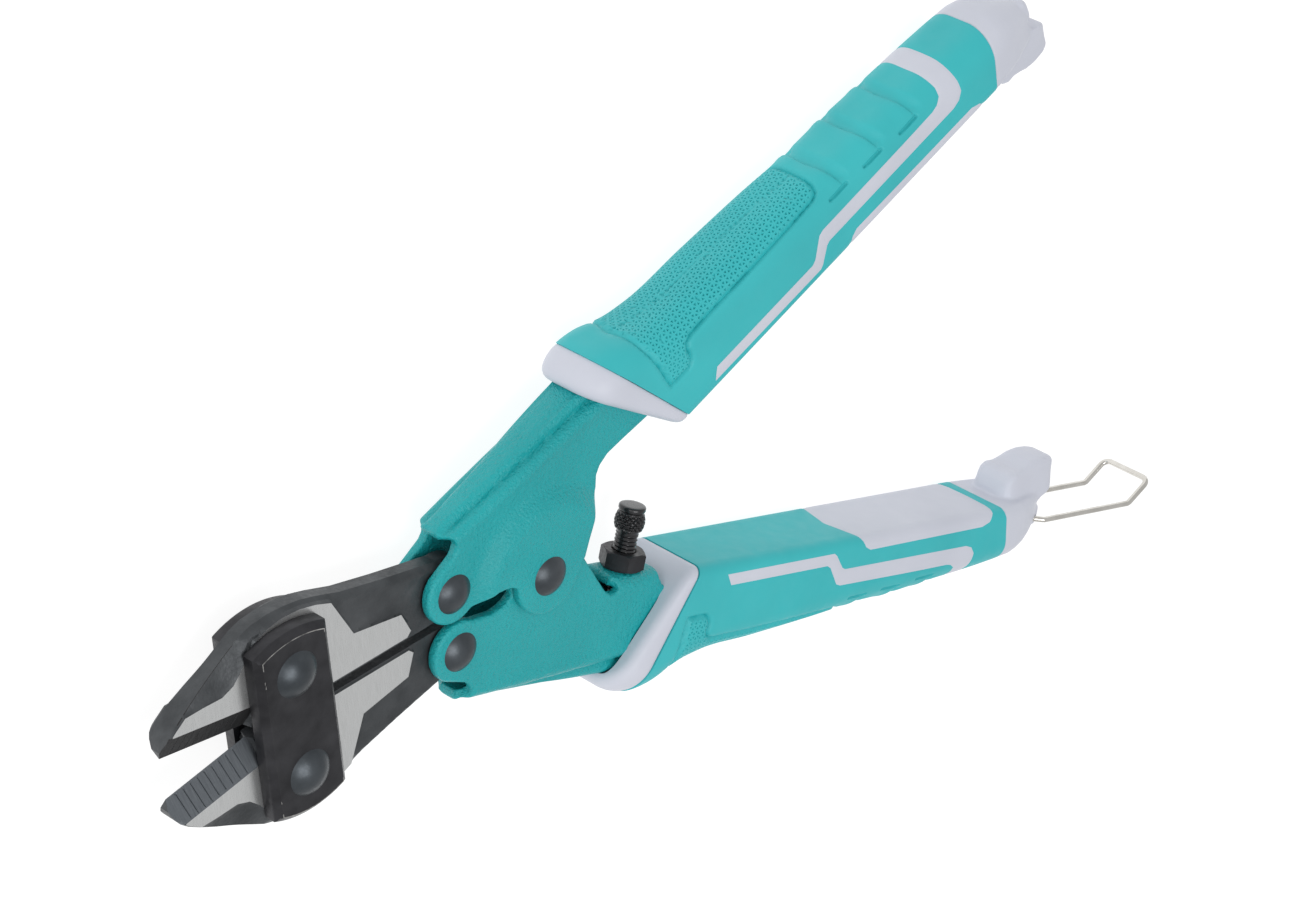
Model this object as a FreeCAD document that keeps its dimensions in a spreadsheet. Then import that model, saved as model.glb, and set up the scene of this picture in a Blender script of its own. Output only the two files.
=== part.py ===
import FreeCAD, Part
import math
import os
import Sketcher
from FreeCAD import Placement, Rotation, Vector

# Compact compound-action bolt cutters, lying flat with the handles open.
# Three working frames share the main pivot as their origin:
#   tool frame    x from the jaws towards the grips, y towards the upper handle, z up
#   handle frame  s along a grip, m outwards from the tool's axis, z up
#   row frame     the tool frame moved so that the origin is below the middle of the box
# Every lower piece is its upper twin turned half a turn about the tool's axis.

DIMENSIONS = {
    # placing in the row frame
    "pivot_x": -37.64,
    "pivot_y": 3.04,
    "mid_height": 8.0,
    "rest_angle": 20.2,
    # linkage
    "knuckle_x": 19.0,
    "knuckle_y": 5.8,
    "link_x": 53.2,
    "link_y": 9.7,
    # jaws
    "ground_half": 2.6,
    "forged_half": 2.42,
    "bevel_width": 4.6,
    "tang_eye": 5.4,
    "link_bore": 3.3,
    "ridge_pitch": 1.45,
    "ridge_depth": 0.14,
    "ridge_width": 0.3,
    # link plates
    "plate_inner": 2.7,
    "plate_thick": 3.3,
    "plate_half_width": 7.5,
    "plate_corner": 15.9,
    "plate_crown": 1.7,
    "plate_chamfer": 1.1,
    # rivets
    "link_shank": 3.0,
    "link_head": 4.1,
    "link_dome": 1.8,
    "knuckle_shank": 2.45,
    "knuckle_head": 3.5,
    "knuckle_dome": 1.35,
    "pivot_shank": 2.45,
    "pivot_head": 3.5,
    "pivot_dome": 1.35,
    "bore_clearance": 0.05,
    "spacer_outer": 4.2,
    "spacer_half": 2.66,
    # pressed handles
    "sheet": 1.8,
    "cheek_inner": 2.7,
    "joggle": 1.9,
    "joggle_reach": 15.3,
    "ear": 5.6,
    "pivot_ear": 7.0,
    "spine": 22.5,
    "spine_round": 3.6,
    "tang_start": 42.0,
    "tang_end": 104.0,
    "tang_spine": 17.0,
    "tang_tip_spine": 13.4,
    "tang_inner": 8.2,
    # grips
    "grip_half": 8.0,
    "grip_inner": 3.2,
    "grip_palm_round": 5.6,
    "grip_inner_round": 2.2,
    "core_inset": 1.8,
    "band_inset": 0.9,
    "collar_front_inner": 33.8,
    "collar_front_outer": 20.5,
    "collar_back_inner": 36.2,
    "collar_back_outer": 25.6,
    "cap_start_inner": 117.6,
    "cap_start_outer": 121.0,
    # end caps and latch
    "cap_half": 4.7,
    "lug_top": -3.0,
    "lug_half": 4.0,
    "lug_start": 124.6,
    "lug_long": 11.2,
    "latch_s": 131.5,
    "latch_m": 8.2,
    "latch_half": 5.4,
    "latch_wire": 0.5,
    "latch_leg": 27.3,
    "latch_kink_s": 4.9,
    "latch_kink_m": 4.2,
    "latch_bend": 1.5,
    "latch_hook": 0.65,
    "latch_hole": 0.56,
    # stop screw
    "screw_s": 24.0,
    "screw_radius": 1.95,
    "screw_hole": 2.0,
    "screw_head": 2.65,
    "screw_head_top": -7.1,
    "screw_head_long": 5.0,
    "screw_end": 12.5,
    "bridge_top": 4.2,
    "bridge_front": 17.0,
    "bridge_back": 31.0,
    "stop_top": 7.6,
    "nut_flats": 7.0,
    "nut_thick": 3.2,
}

doc = FreeCAD.newDocument("bolt_cutters")
sheet = doc.addObject("Spreadsheet::Sheet", "Dimensions")
for row, (alias, value) in enumerate(DIMENSIONS.items(), start=1):
    sheet.set(f"A{row}", alias)
    sheet.set(f"B{row}", str(value))
    sheet.setAlias(f"B{row}", alias)
doc.recompute()


def dim(alias):
    """A driving dimension, read back from the sheet."""
    return float(getattr(sheet, alias))


def bind(obj, **formulas):
    """Binds properties to sheet formulas; each word of a formula that is an alias is looked up."""
    for prop, formula in formulas.items():
        words = [f"Dimensions.{w}" if w in DIMENSIONS else w for w in formula.split()]
        obj.setExpression(prop.replace("__", "."), " ".join(words))


# ---------------------------------------------------------------- placing

def on_tool(upper=True):
    """From the tool frame into the row frame."""
    base = Vector(dim("pivot_x"), dim("pivot_y"), dim("mid_height"))
    turn = Rotation() if upper else Rotation(Vector(1, 0, 0), 180)
    return Placement(base, turn)


def on_handle(upper=True):
    """From a handle's frame into the row frame, with the handles at rest."""
    swing = Rotation(Vector(0, 0, 1), dim("rest_angle"))
    return on_tool(upper).multiply(Placement(Vector(), swing))


def place(obj, label, placement):
    """Names a sub-part and puts it where it belongs, at the sheet's pivot and height."""
    obj.Label = label
    obj.Placement = placement
    bind(obj, Placement__Base__x="pivot_x", Placement__Base__y="pivot_y",
         Placement__Base__z="mid_height")
    SUBPARTS.append(obj)
    return obj


SUBPARTS = []


# ---------------------------------------------------------------- outlines

def outline(*steps):
    """A closed wire: (x, y) is the end of a straight line, (mx, my, x, y) of an arc."""
    edges = []
    here = Vector(*steps[0][-2:], 0)
    for step in steps[1:] + steps[:1]:
        there = Vector(*step[-2:], 0)
        if len(step) == 4:
            middle = Vector(step[0], step[1], 0)
            edges.append(Part.Arc(here, middle, there))
        else:
            edges.append(Part.LineSegment(here, there))
        here = there
    return edges


def on_circle(x, y, radius, degrees):
    angle = math.radians(degrees)
    return (x + radius * math.cos(angle), y + radius * math.sin(angle))


def origin_plane(body, role):
    return next(f for f in body.Origin.OriginFeatures if f.Role == role)


def sketch_on(body, name, curves, role="XY_Plane"):
    """A sketch of the given curves on one of the body's own origin planes."""
    sketch = body.newObject("Sketcher::SketchObject", name)
    sketch.AttachmentSupport = [(origin_plane(body, role), "")]
    sketch.MapMode = "FlatFace"
    for curve in curves:
        sketch.addGeometry(curve, False)
    return sketch


def pad(body, sketch, length, midplane=True):
    """A pad whose length is a sheet formula, about the sketch plane or on one side of it."""
    feature = body.newObject("PartDesign::Pad", f"{sketch.Name}_pad")
    feature.Profile = sketch
    feature.Midplane = midplane
    bind(feature, Length=length)
    sketch.Visibility = False
    return feature


def bore(body, name, centre, radius):
    """A round hole right through the body, with its radius driven by the sheet."""
    circle = Part.Circle(Vector(*centre, 0), Vector(0, 0, 1), 1.0)
    sketch = sketch_on(body, name, [circle])
    radius_at = sketch.addConstraint(Sketcher.Constraint("Radius", 0, 1.0))
    sketch.addConstraint(Sketcher.Constraint("DistanceX", -1, 1, 0, 3, centre[0]))
    sketch.addConstraint(Sketcher.Constraint("DistanceY", -1, 1, 0, 3, centre[1]))
    sketch.renameConstraint(radius_at, "wall")
    bind(sketch, Constraints__wall=radius)
    pocket = body.newObject("PartDesign::Pocket", f"{name}_pocket")
    pocket.Profile = sketch
    pocket.Midplane = True
    pocket.Type = "ThroughAll"
    sketch.Visibility = False
    return pocket


def solid_from(edges, low, high):
    """A plain extruded solid between two heights."""
    wire = Part.Wire([edge.toShape() for edge in edges])
    face = Part.Face(wire)
    face.translate(Vector(0, 0, low))
    return face.extrude(Vector(0, 0, high - low))


def long_edges(solid, along, height, test):
    """The edges at one height, above and below, whose middle passes a test."""
    chosen = []
    for edge in solid.Edges:
        box = edge.BoundBox
        flat = box.ZLength < 1e-6 and abs(abs(box.ZMin) - height) < 1e-6
        if flat and box.XLength > along and test(edge.CenterOfMass):
            chosen.append(edge)
    return chosen


# ---------------------------------------------------------------- jaws

KNUCKLE = (-dim("knuckle_x"), dim("knuckle_y"))
LINK = (-dim("link_x"), dim("link_y"))
EDGE_TIP = Vector(-77.2, 3.98, 0)
EDGE_HEEL = Vector(-60.6, 1.18, 0)


def jaw_curves():
    """The jaw seen from above: blade, shoulder round the link rivet, and tang to the knuckle."""
    eye = dim("tang_eye")
    return outline(
        (EDGE_TIP.x, EDGE_TIP.y),
        (EDGE_HEEL.x, EDGE_HEEL.y),
        (-57.0, 0.8),
        (-21.5, 0.8),
        (-18.6, 0.5, *on_circle(*KNUCKLE, eye, -50)),
        (*on_circle(*KNUCKLE, eye, 15), *on_circle(*KNUCKLE, eye, 88)),
        (-24.0, 12.2),
        (-39.5, 16.0),
        (-45.0, 18.4, -51.0, 19.4),
        (-56.5, 19.4, -60.6, 17.4),
        (-64.8, 13.9, -68.6, 11.9),
        (-74.6, 10.2),
        (-77.6, 7.6),
    )


def ground_curves():
    """The ground flat that bears on the link plates, with its strip along the blade."""
    return outline(
        (-76.2, 8.0),
        (-61.2, 5.9),
        (-59.6, 2.0),
        (-58.4, 1.2),
        (-28.1, 1.2),
        (-27.2, 2.2),
        (-28.8, 6.2),
        (-39.0, 7.9),
        (-42.8, 15.6),
        (-50.0, 18.9, -57.8, 16.6),
        (-60.2, 14.2),
        (-61.7, 11.9),
        (-65.2, 9.9),
        (-72.6, 9.9),
    )


def edge_box(name, side):
    """A cutting block whose one face is the bevel above or below the cutting edge."""
    block = doc.addObject("Part::Box", name)
    block.Length, block.Width, block.Height = 40, 20, 10
    run = EDGE_HEEL - EDGE_TIP
    heading = math.degrees(math.atan2(run.y, run.x))
    tilt = math.degrees(math.atan2(dim("ground_half"), dim("bevel_width")))
    lean = Rotation(Vector(1, 0, 0), tilt if side > 0 else -tilt)
    turn = Rotation(Vector(0, 0, 1), heading).multiply(lean)
    corner = Vector(-14, -8, 0) if side > 0 else Vector(-14, -8, -10)
    start = EDGE_TIP + turn.multVec(corner)
    block.Placement = Placement(start, turn)
    return block


def ridge_box(name, index, side):
    """A shallow cut straight across the bevel, one of a row left by the grinding wheel."""
    block = doc.addObject("Part::Box", name)
    run = EDGE_HEEL - EDGE_TIP
    heading = math.degrees(math.atan2(run.y, run.x))
    tilt = math.degrees(math.atan2(dim("ground_half"), dim("bevel_width")))
    lean = Rotation(Vector(1, 0, 0), side * tilt)
    turn = Rotation(Vector(0, 0, 1), heading).multiply(lean)
    bind(block, Length="ridge_width", Height="ridge_depth * 2")
    block.Width = 8
    along = 1.1 + index * dim("ridge_pitch")
    corner = Vector(along, 0.5, -dim("ridge_depth"))
    block.Placement = Placement(EDGE_TIP + turn.multVec(corner), turn)
    return block


def make_jaw(label, upper):
    body = doc.addObject("PartDesign::Body", f"{label}_forging")
    pad(body, sketch_on(body, f"{label}_outline", jaw_curves()), "forged_half * 2")
    pad(body, sketch_on(body, f"{label}_ground", ground_curves()), "ground_half * 2")
    doc.recompute()
    bore(body, f"{label}_link_bore", LINK, "link_shank + bore_clearance" if upper else "link_bore")
    bore(body, f"{label}_knuckle_bore", KNUCKLE, "knuckle_shank + bore_clearance")
    cutters = [edge_box(f"{label}_bevel_{side}", side) for side in (1, -1)]
    for side in (1, -1):
        for index in range(10):
            cutters.append(ridge_box(f"{label}_ridge_{index}_{side}", index, side))
    tools = doc.addObject("Part::MultiFuse", f"{label}_grinding")
    tools.Shapes = cutters
    jaw = doc.addObject("Part::Cut", f"{label}_cut")
    jaw.Base = body
    jaw.Tool = tools
    place(jaw, label, on_tool(upper))


for jaw_name, is_upper in (("jaw_upper", True), ("jaw_lower", False)):
    make_jaw(jaw_name, is_upper)


# ---------------------------------------------------------------- link plates

def plate_curves():
    x, half = -dim("link_x"), dim("plate_half_width")
    corner, crown = dim("plate_corner"), dim("plate_corner") + dim("plate_crown")
    return outline(
        (x - half, corner),
        (x, crown, x + half, corner),
        (x + half, -corner),
        (x, -crown, x - half, -corner),
    )


def make_plate(label, upper):
    """A thick strap with crowned ends, chamfered round its outer face."""
    body = doc.addObject("PartDesign::Body", f"{label}_body")
    sketch = sketch_on(body, f"{label}_outline", plate_curves())
    bind(sketch, AttachmentOffset__Base__z="plate_inner")
    strap = pad(body, sketch, "plate_thick", midplane=False)
    doc.recompute()
    outer = dim("plate_inner") + dim("plate_thick")
    rim = [
        f"Edge{i}"
        for i, edge in enumerate(strap.Shape.Edges, start=1)
        if abs(edge.BoundBox.ZMin - outer) < 1e-6 and edge.BoundBox.ZLength < 1e-6
    ]
    chamfer = body.newObject("PartDesign::Chamfer", f"{label}_chamfer")
    chamfer.Base = (strap, rim)
    bind(chamfer, Size="plate_chamfer")
    doc.recompute()
    for name, y in (("upper", LINK[1]), ("lower", -LINK[1])):
        bore(body, f"{label}_{name}_bore", (LINK[0], y), "link_shank")
    place(body, label, on_tool(upper))


make_plate("link_plate_front", True)
make_plate("link_plate_rear", False)


# ---------------------------------------------------------------- rivets

def rivet_dome(name, head, dome, stack, side):
    """A spherical cap: the part of a ball above the flat that seats on the clamped stack."""
    cap = doc.addObject("Part::Sphere", name)
    ball = f"( {head} * {head} + {dome} * {dome} ) / ( 2 * {dome} )"
    cap.Placement = Placement(Vector(), Rotation(Vector(1, 0, 0), 0 if side > 0 else 180))
    bind(
        cap,
        Radius=ball,
        Angle1=f"asin( 1 - 2 * {dome} * {dome} / ( {head} * {head} + {dome} * {dome} ) )",
        Placement__Base__z=f"( {stack} + {dome} - {ball} ) * {side}",
    )
    return cap


def make_rivet(label, centre, shank, head, dome, stack, upper=True):
    """A set rivet: a shank through the stack and a domed head on each side of it."""
    rod = doc.addObject("Part::Cylinder", f"{label}_shank")
    bind(rod, Radius=shank, Height=f"( {stack} ) * 2", Placement__Base__z=f"0 - ( {stack} )")
    domes = [rivet_dome(f"{label}_dome_{side}", head, dome, stack, side) for side in (1, -1)]
    rivet = doc.addObject("Part::MultiFuse", f"{label}_set")
    rivet.Shapes = [rod, *domes]
    rivet.Label = label
    rivet.Placement = on_tool(upper).multiply(Placement(Vector(*centre, 0), Rotation()))
    bind(rivet, Placement__Base__z="mid_height")
    SUBPARTS.append(rivet)


PLATE_STACK = "plate_inner + plate_thick"
CHEEK_STACK = "cheek_inner + sheet"
PIVOT_STACK = "cheek_inner + sheet + joggle"
for side_name, is_upper in (("upper", True), ("lower", False)):
    make_rivet(f"jaw_rivet_{side_name}", LINK, "link_shank", "link_head", "link_dome",
               PLATE_STACK, is_upper)
    make_rivet(f"knuckle_rivet_{side_name}", KNUCKLE, "knuckle_shank", "knuckle_head",
               "knuckle_dome", CHEEK_STACK, is_upper)
make_rivet("main_rivet", (0, 0), "pivot_shank", "pivot_head", "pivot_dome", PIVOT_STACK)


def make_spacer():
    """The sleeve on the main rivet that keeps the lower handle's cheeks apart."""
    tube = doc.addObject("Part::Cylinder", "spacer_tube")
    hole = doc.addObject("Part::Cylinder", "spacer_hole")
    bind(tube, Radius="spacer_outer", Height="spacer_half * 2")
    bind(hole, Radius="pivot_shank + bore_clearance", Height="spacer_half * 2")
    for cylinder in (tube, hole):
        bind(cylinder, Placement__Base__z="0 - spacer_half")
    spacer = doc.addObject("Part::Cut", "spacer_cut")
    spacer.Base = tube
    spacer.Tool = hole
    place(spacer, "pivot_spacer", on_tool())


make_spacer()


# ---------------------------------------------------------------- pressed handles

def to_handle(x, y):
    """A tool-frame point in the handle frame."""
    angle = math.radians(dim("rest_angle"))
    return (
        x * math.cos(angle) + y * math.sin(angle),
        -x * math.sin(angle) + y * math.cos(angle),
    )


KNUCKLE_S, KNUCKLE_M = to_handle(*KNUCKLE)


def cheek_curves(drop=0.0):
    """A handle's cheek; drop lowers its spine, for the hollow inside the channel."""
    ear, pivot_ear = dim("ear"), dim("pivot_ear")
    spine = dim("spine") - drop
    return outline(
        (-12.4, spine),
        (-11.2, 20.2, -12.6, 18.4),
        (-15.0, 17.9, *on_circle(KNUCKLE_S, KNUCKLE_M, ear, 112)),
        (*on_circle(KNUCKLE_S, KNUCKLE_M, ear, 200), *on_circle(KNUCKLE_S, KNUCKLE_M, ear, 287)),
        (-9.6, 5.3),
        (-7.2, 3.6, *on_circle(0, 0, pivot_ear, 172)),
        (*on_circle(0, 0, pivot_ear, 245), *on_circle(0, 0, pivot_ear, 318)),
        (9.8, -1.0),
        (14.5, 3.3),
        (18.2, 7.4),
        (21.5, dim("tang_inner")),
        (dim("tang_end"), dim("tang_inner")),
        (dim("tang_end"), dim("tang_tip_spine") - drop),
        (dim("tang_start"), dim("tang_spine") - drop),
        (32.0, spine - 0.3),
        (28.0, spine),
    )


def hollow_curves():
    """The channel's hollow: open at the front and along its inner side."""
    top = dim("spine") - dim("sheet")
    return outline(
        (-30.0, top),
        (28.0, top),
        (dim("tang_start") - 2.0, dim("tang_spine") - dim("sheet")),
        (dim("tang_end") + 2.0, dim("tang_tip_spine") - dim("sheet")),
        (dim("tang_end") + 2.0, -20.0),
        (-30.0, -20.0),
    )


def on_spine(point):
    return point.y > 12.5 and point.x > -10


def channel():
    """The pressed channel shared by both handles, before the pivot and the bridges."""
    inner = dim("cheek_inner")
    outer = inner + dim("sheet")
    shell = solid_from(cheek_curves(), -outer, outer)
    shell = shell.makeFillet(dim("spine_round"), long_edges(shell, 8, outer, on_spine))
    hollow = solid_from(hollow_curves(), -inner, inner)
    return shell.cut(hollow)


def tab(front, back, top, hole):
    """A strap bent across between the cheeks, with a hole for the stop screw if hole is set."""
    outer = dim("cheek_inner") + dim("sheet")
    strap = Part.makeBox(back - front, dim("sheet"), outer * 2, Vector(front, top, -outer))
    corners = [
        e for e in strap.Edges
        if e.BoundBox.XLength > 1 and abs(e.CenterOfMass.y - top) < 1e-6
    ]
    strap = strap.makeFillet(dim("sheet") * 0.9, corners)
    cheeks = [
        Part.makeBox(back - front, dim("tang_inner") + 1.0 - top, dim("sheet"),
                     Vector(front, top + dim("sheet") * 0.9, z))
        for z in (dim("cheek_inner"), -outer)
    ]
    strap = strap.multiFuse(cheeks)
    if hole:
        centre = Vector(dim("screw_s"), top - 1.0, 0)
        strap = strap.cut(Part.makeCylinder(dim("screw_hole"), 4.0, centre, Vector(0, 1, 0)))
    return strap


def drill(solid, centre, radius):
    start = Vector(centre[0], centre[1], -20)
    return solid.cut(Part.makeCylinder(radius, 40, start))


def disc(radius, low, high):
    return Part.makeCylinder(radius, high - low, Vector(0, 0, low))


def make_handle_lower():
    solid = channel()
    solid = solid.fuse(tab(dim("bridge_front"), dim("bridge_back"), dim("bridge_top"), True))
    solid = drill(solid, (KNUCKLE_S, KNUCKLE_M), dim("knuckle_shank"))
    return drill(solid, (0, 0), dim("pivot_shank")).removeSplitter()


def make_handle_upper():
    """The outer handle: its cheeks step outwards round the pivot, over the lower handle's."""
    inner = dim("cheek_inner")
    outer = inner + dim("sheet")
    lift = dim("joggle")
    reach = dim("joggle_reach")
    top = outer + lift
    solid = channel().cut(disc(reach, -outer - 1, outer + 1))
    plan = solid_from(cheek_curves(), -top, top)
    ring = disc(reach + 1.0, -top, top).cut(disc(reach, -top - 1, top + 1))
    ring = ring.cut(Part.makeBox(100, 100, inner * 2, Vector(-50, -50, -inner)))
    caps = [disc(reach + 1.0, top - dim("sheet"), top), disc(reach + 1.0, -top, -top + dim("sheet"))]
    raised = ring.multiFuse(caps).common(plan)
    solid = solid.fuse(raised)
    solid = solid.fuse(tab(dim("bridge_front") + 2, dim("bridge_back"), dim("stop_top"), False))
    solid = drill(solid, (KNUCKLE_S, KNUCKLE_M), dim("knuckle_shank"))
    return drill(solid, (0, 0), dim("pivot_shank") + dim("bore_clearance")).removeSplitter()


def moulded(label, shape, placement):
    """A sub-part whose shape is worked out above rather than from a sketch."""
    feature = doc.addObject("Part::Feature", f"{label}_shape")
    feature.Shape = shape
    return place(feature, label, placement)


moulded("handle_upper", make_handle_upper(), on_handle(True))
moulded("handle_lower", make_handle_lower(), on_handle(False))


# ---------------------------------------------------------------- grips

PALM_LINE = [
    (20.5, 25.0), (25.6, 26.5), (30.6, 25.6), (35.6, 23.0), (41.5, 21.4), (55.0, 20.5),
    (70.0, 19.4), (85.0, 18.4), (100.0, 17.3), (112.0, 16.2), (121.6, 15.2),
]


def grip_solid(inset=0.0):
    """The whole grip, D-shaped in section: flat sides, round palm, flat inner face."""
    half = dim("grip_half") - inset
    inner = dim("grip_inner") + inset
    palm = [Vector(s, m - inset, 0) for s, m in PALM_LINE]
    curve = Part.BSplineCurve()
    curve.interpolate(palm)
    front = Vector(dim("collar_front_inner"), inner, 0)
    back = Vector(dim("cap_start_inner") + 4, inner, 0)
    wire = Part.Wire([
        curve.toShape(),
        Part.makeLine(palm[-1], back),
        Part.makeLine(back, front),
        Part.makeLine(front, palm[0]),
    ])
    face = Part.Face(wire)
    face.translate(Vector(0, 0, -half))
    solid = face.extrude(Vector(0, 0, half * 2))
    palm_round = dim("grip_palm_round") - inset
    solid = solid.makeFillet(palm_round, long_edges(solid, 80, half, lambda c: c.y > 12))
    inner_round = max(dim("grip_inner_round") - inset, 0.4)
    return solid.makeFillet(inner_round, long_edges(solid, 70, half, lambda c: abs(c.y - inner) < 0.01))


def block(*corners):
    """A tall prism over a plan outline, for cutting and dividing."""
    return solid_from(outline(*corners), -30, 30)


def collar_zone():
    """The front end of a grip, up to the slanting joint between collar and cover."""
    slope = (dim("collar_back_inner") - dim("collar_back_outer")) / (27.0 - dim("grip_inner"))
    foot = dim("collar_back_inner") + slope * (dim("grip_inner") + 10)
    head = dim("collar_back_inner") - slope * (40 - dim("grip_inner"))
    return block((0, -10), (foot, -10), (head, 40), (0, 40))


def cap_zone():
    """Everything behind the slanting joint between cover and end cap."""
    start, end = dim("cap_start_inner"), dim("cap_start_outer")
    slope = (end - start) / 12.0
    foot = start - slope * (dim("grip_inner") + 10)
    head = start + slope * (40 - dim("grip_inner"))
    return block((foot, -10), (200, -10), (200, 40), (head, 40))


BAND_PLAN = (
    (42.8, 5.4), (71.0, 5.4), (74.1, 8.7), (108.2, 8.6), (110.6, 9.6), (111.0, 30.0),
    (106.4, 30.0), (105.6, 12.4), (104.2, 11.4), (73.4, 11.5), (69.7, 7.6), (44.4, 7.6),
)
PAD_RANGE = (77.0, 116.0)


def grip_pieces():
    """Core, cover, band and pad of one grip, with no overlap between them."""
    whole = grip_solid()
    core_body = grip_solid(dim("core_inset"))
    skin = whole.cut(grip_solid(dim("band_inset")))
    rear, front = cap_zone(), collar_zone()
    band = skin.common(block(*BAND_PLAN)).cut(front)
    pad_width = dim("grip_half") - dim("grip_inner_round") - 0.6
    start, end = PAD_RANGE
    pad_box = Part.makeBox(end - start, dim("band_inset"), pad_width * 2,
                           Vector(start, dim("grip_inner") - 0.001, -pad_width))
    inlay = whole.common(pad_box)
    envelope = solid_from(cheek_curves(), -handle_half(), handle_half())
    core = whole.common(front).fuse(core_body.cut(rear)).cut(envelope).cut(spigot())
    cover = whole.cut(rear).cut(front).cut(core_body).cut(band).cut(inlay)
    return core, cover, band, inlay


def handle_half():
    return dim("cheek_inner") + dim("sheet") + 0.02


def spigot():
    """The plug by which an end cap is pressed into the core."""
    return Part.makeBox(12.2, 7.4, 8.0, Vector(106.5, 5.8, -4.0))


CAP_LINE = [(114.0, 16.0), (121.6, 15.2), (127.6, 13.6), (132.0, 10.6), (134.2, 7.0)]


def cap_solid():
    """An end cap: a rounded heel narrowing to a neck that carries a flat-topped lug."""
    inner = dim("grip_inner")
    palm = Part.BSplineCurve()
    palm.interpolate([Vector(s, m, 0) for s, m in CAP_LINE])
    wire = outline(CAP_LINE[-1], (134.0, 4.6, 132.8, 2.4), (132.2, -1.0), (126.6, -1.0),
                   (126.2, inner), (114.0, inner), CAP_LINE[0])[:-1]
    heel = solid_from([palm, *wire], -dim("grip_half"), dim("grip_half"))
    heel = heel.makeFillet(3.6, long_edges(heel, 15, dim("grip_half"), lambda c: c.y > 10))
    plan = solid_from(outline(
        (110.0, -dim("grip_half")),
        (119.5, -dim("grip_half")),
        (127.6, -dim("cap_half")),
        (140.0, -dim("cap_half")),
        (140.0, dim("cap_half")),
        (127.6, dim("cap_half")),
        (119.5, dim("grip_half")),
        (110.0, dim("grip_half")),
    ), -20, 40)
    plan.rotate(Vector(0, 0, 0), Vector(1, 0, 0), 90)
    heel = heel.common(plan).common(cap_zone())
    half = dim("lug_half")
    lug = Part.makeBox(dim("lug_long"), 2.2, half * 2,
                       Vector(dim("lug_start"), dim("lug_top"), -half))
    corners = [e for e in lug.Edges if abs(e.CenterOfMass.y - dim("lug_top")) < 1e-6]
    lug = lug.makeFillet(0.7, corners)
    cap = heel.fuse(lug).fuse(spigot().cut(block((118.5, -10), (130, -10), (130, 40), (118.5, 40))))
    for z, direction in ((dim("cap_half") + 1, -1), (-dim("cap_half") - 1, 1)):
        hole = Part.makeCylinder(dim("latch_hole"), 3.4, Vector(dim("latch_s"), dim("latch_m"), z),
                                 Vector(0, 0, direction))
        cap = cap.cut(hole)
    return cap.removeSplitter()


for side_name, is_upper in (("upper", True), ("lower", False)):
    names = ("grip_core", "grip_cover", "grip_band", "grip_inlay")
    for name, shape in zip(names, grip_pieces()):
        moulded(f"{name}_{side_name}", shape, on_handle(is_upper))
    moulded(f"end_cap_{side_name}", cap_solid(), on_handle(is_upper))


# ---------------------------------------------------------------- latch

def rounded_path(points, radii):
    """Straight runs joined by tangent arcs, with one radius for each corner."""
    edges = []
    here = points[0]
    for before, corner, after, radius in zip(points, points[1:], points[2:], radii):
        back = (before - corner).normalize()
        ahead = (after - corner).normalize()
        half = back.getAngle(ahead) / 2
        reach = radius / math.tan(half)
        enter = corner + back * reach
        leave = corner + ahead * reach
        bisector = (back + ahead).normalize()
        middle = corner + bisector * (radius / math.sin(half) - radius)
        edges.append(Part.makeLine(here, enter))
        edges.append(Part.Arc(enter, middle, leave).toShape())
        here = leave
    edges.append(Part.makeLine(here, points[-1]))
    return Part.Wire(edges)


def latch_solid():
    """A bent wire bail hinged in the lower end cap, cranked at its free end."""
    s, m, z = dim("latch_s"), dim("latch_m"), dim("latch_half")
    s_leg = s + dim("latch_leg")
    s_end, m_end = s_leg + dim("latch_kink_s"), m - dim("latch_kink_m")
    tip = dim("cap_half") - 2.2
    bends = [dim("latch_bend")] * 4
    path = rounded_path([
        Vector(s, m, tip), Vector(s, m, z), Vector(s_leg, m, z), Vector(s_end, m_end, z),
        Vector(s_end, m_end, -z), Vector(s_leg, m, -z), Vector(s, m, -z), Vector(s, m, -tip),
    ], [dim("latch_hook"), *bends, dim("latch_hook")])
    circle = Part.makeCircle(dim("latch_wire"), Vector(s, m, tip), Vector(0, 0, 1))
    return path.makePipeShell([Part.Wire(circle)], True, True)


moulded("wire_latch", latch_solid(), on_handle(False))


# ---------------------------------------------------------------- stop screw and lock nut

def screw_solid():
    """A threaded stud with a knurled barrel head; the thread is kept at its mean radius."""
    s, top = dim("screw_s"), dim("screw_head_top")
    neck = top + dim("screw_head_long")
    up = Vector(0, 1, 0)
    shank = Part.makeCylinder(dim("screw_radius"), dim("screw_end") - neck, Vector(s, neck, 0), up)
    head = Part.makeCylinder(dim("screw_head"), dim("screw_head_long"), Vector(s, top, 0), up)
    head = head.makeChamfer(0.6, [e for e in head.Edges if e.BoundBox.YLength < 1e-6])
    return shank.fuse(head).removeSplitter()


def nut_solid():
    """A plain hexagon nut, seated on the bridge."""
    corner = dim("nut_flats") / math.sqrt(3)
    top = dim("bridge_top") - dim("nut_thick")
    s = dim("screw_s")
    ring = [
        Vector(s + corner * math.cos(math.radians(a)), top, corner * math.sin(math.radians(a)))
        for a in range(0, 361, 60)
    ]
    prism = Part.Face(Part.makePolygon(ring)).extrude(Vector(0, dim("nut_thick") - 0.02, 0))
    cone = Part.makeCone(corner * 0.9, corner * 0.9 + dim("nut_thick") * 3, dim("nut_thick") * 1.8,
                         Vector(s, top, 0), Vector(0, 1, 0))
    hole = Part.makeCylinder(dim("screw_hole"), 10, Vector(s, top - 1, 0), Vector(0, 1, 0))
    return prism.common(cone).cut(hole)


moulded("stop_screw", screw_solid(), on_handle(False))
moulded("lock_nut", nut_solid(), on_handle(False))


# ---------------------------------------------------------------- checks and export

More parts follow.
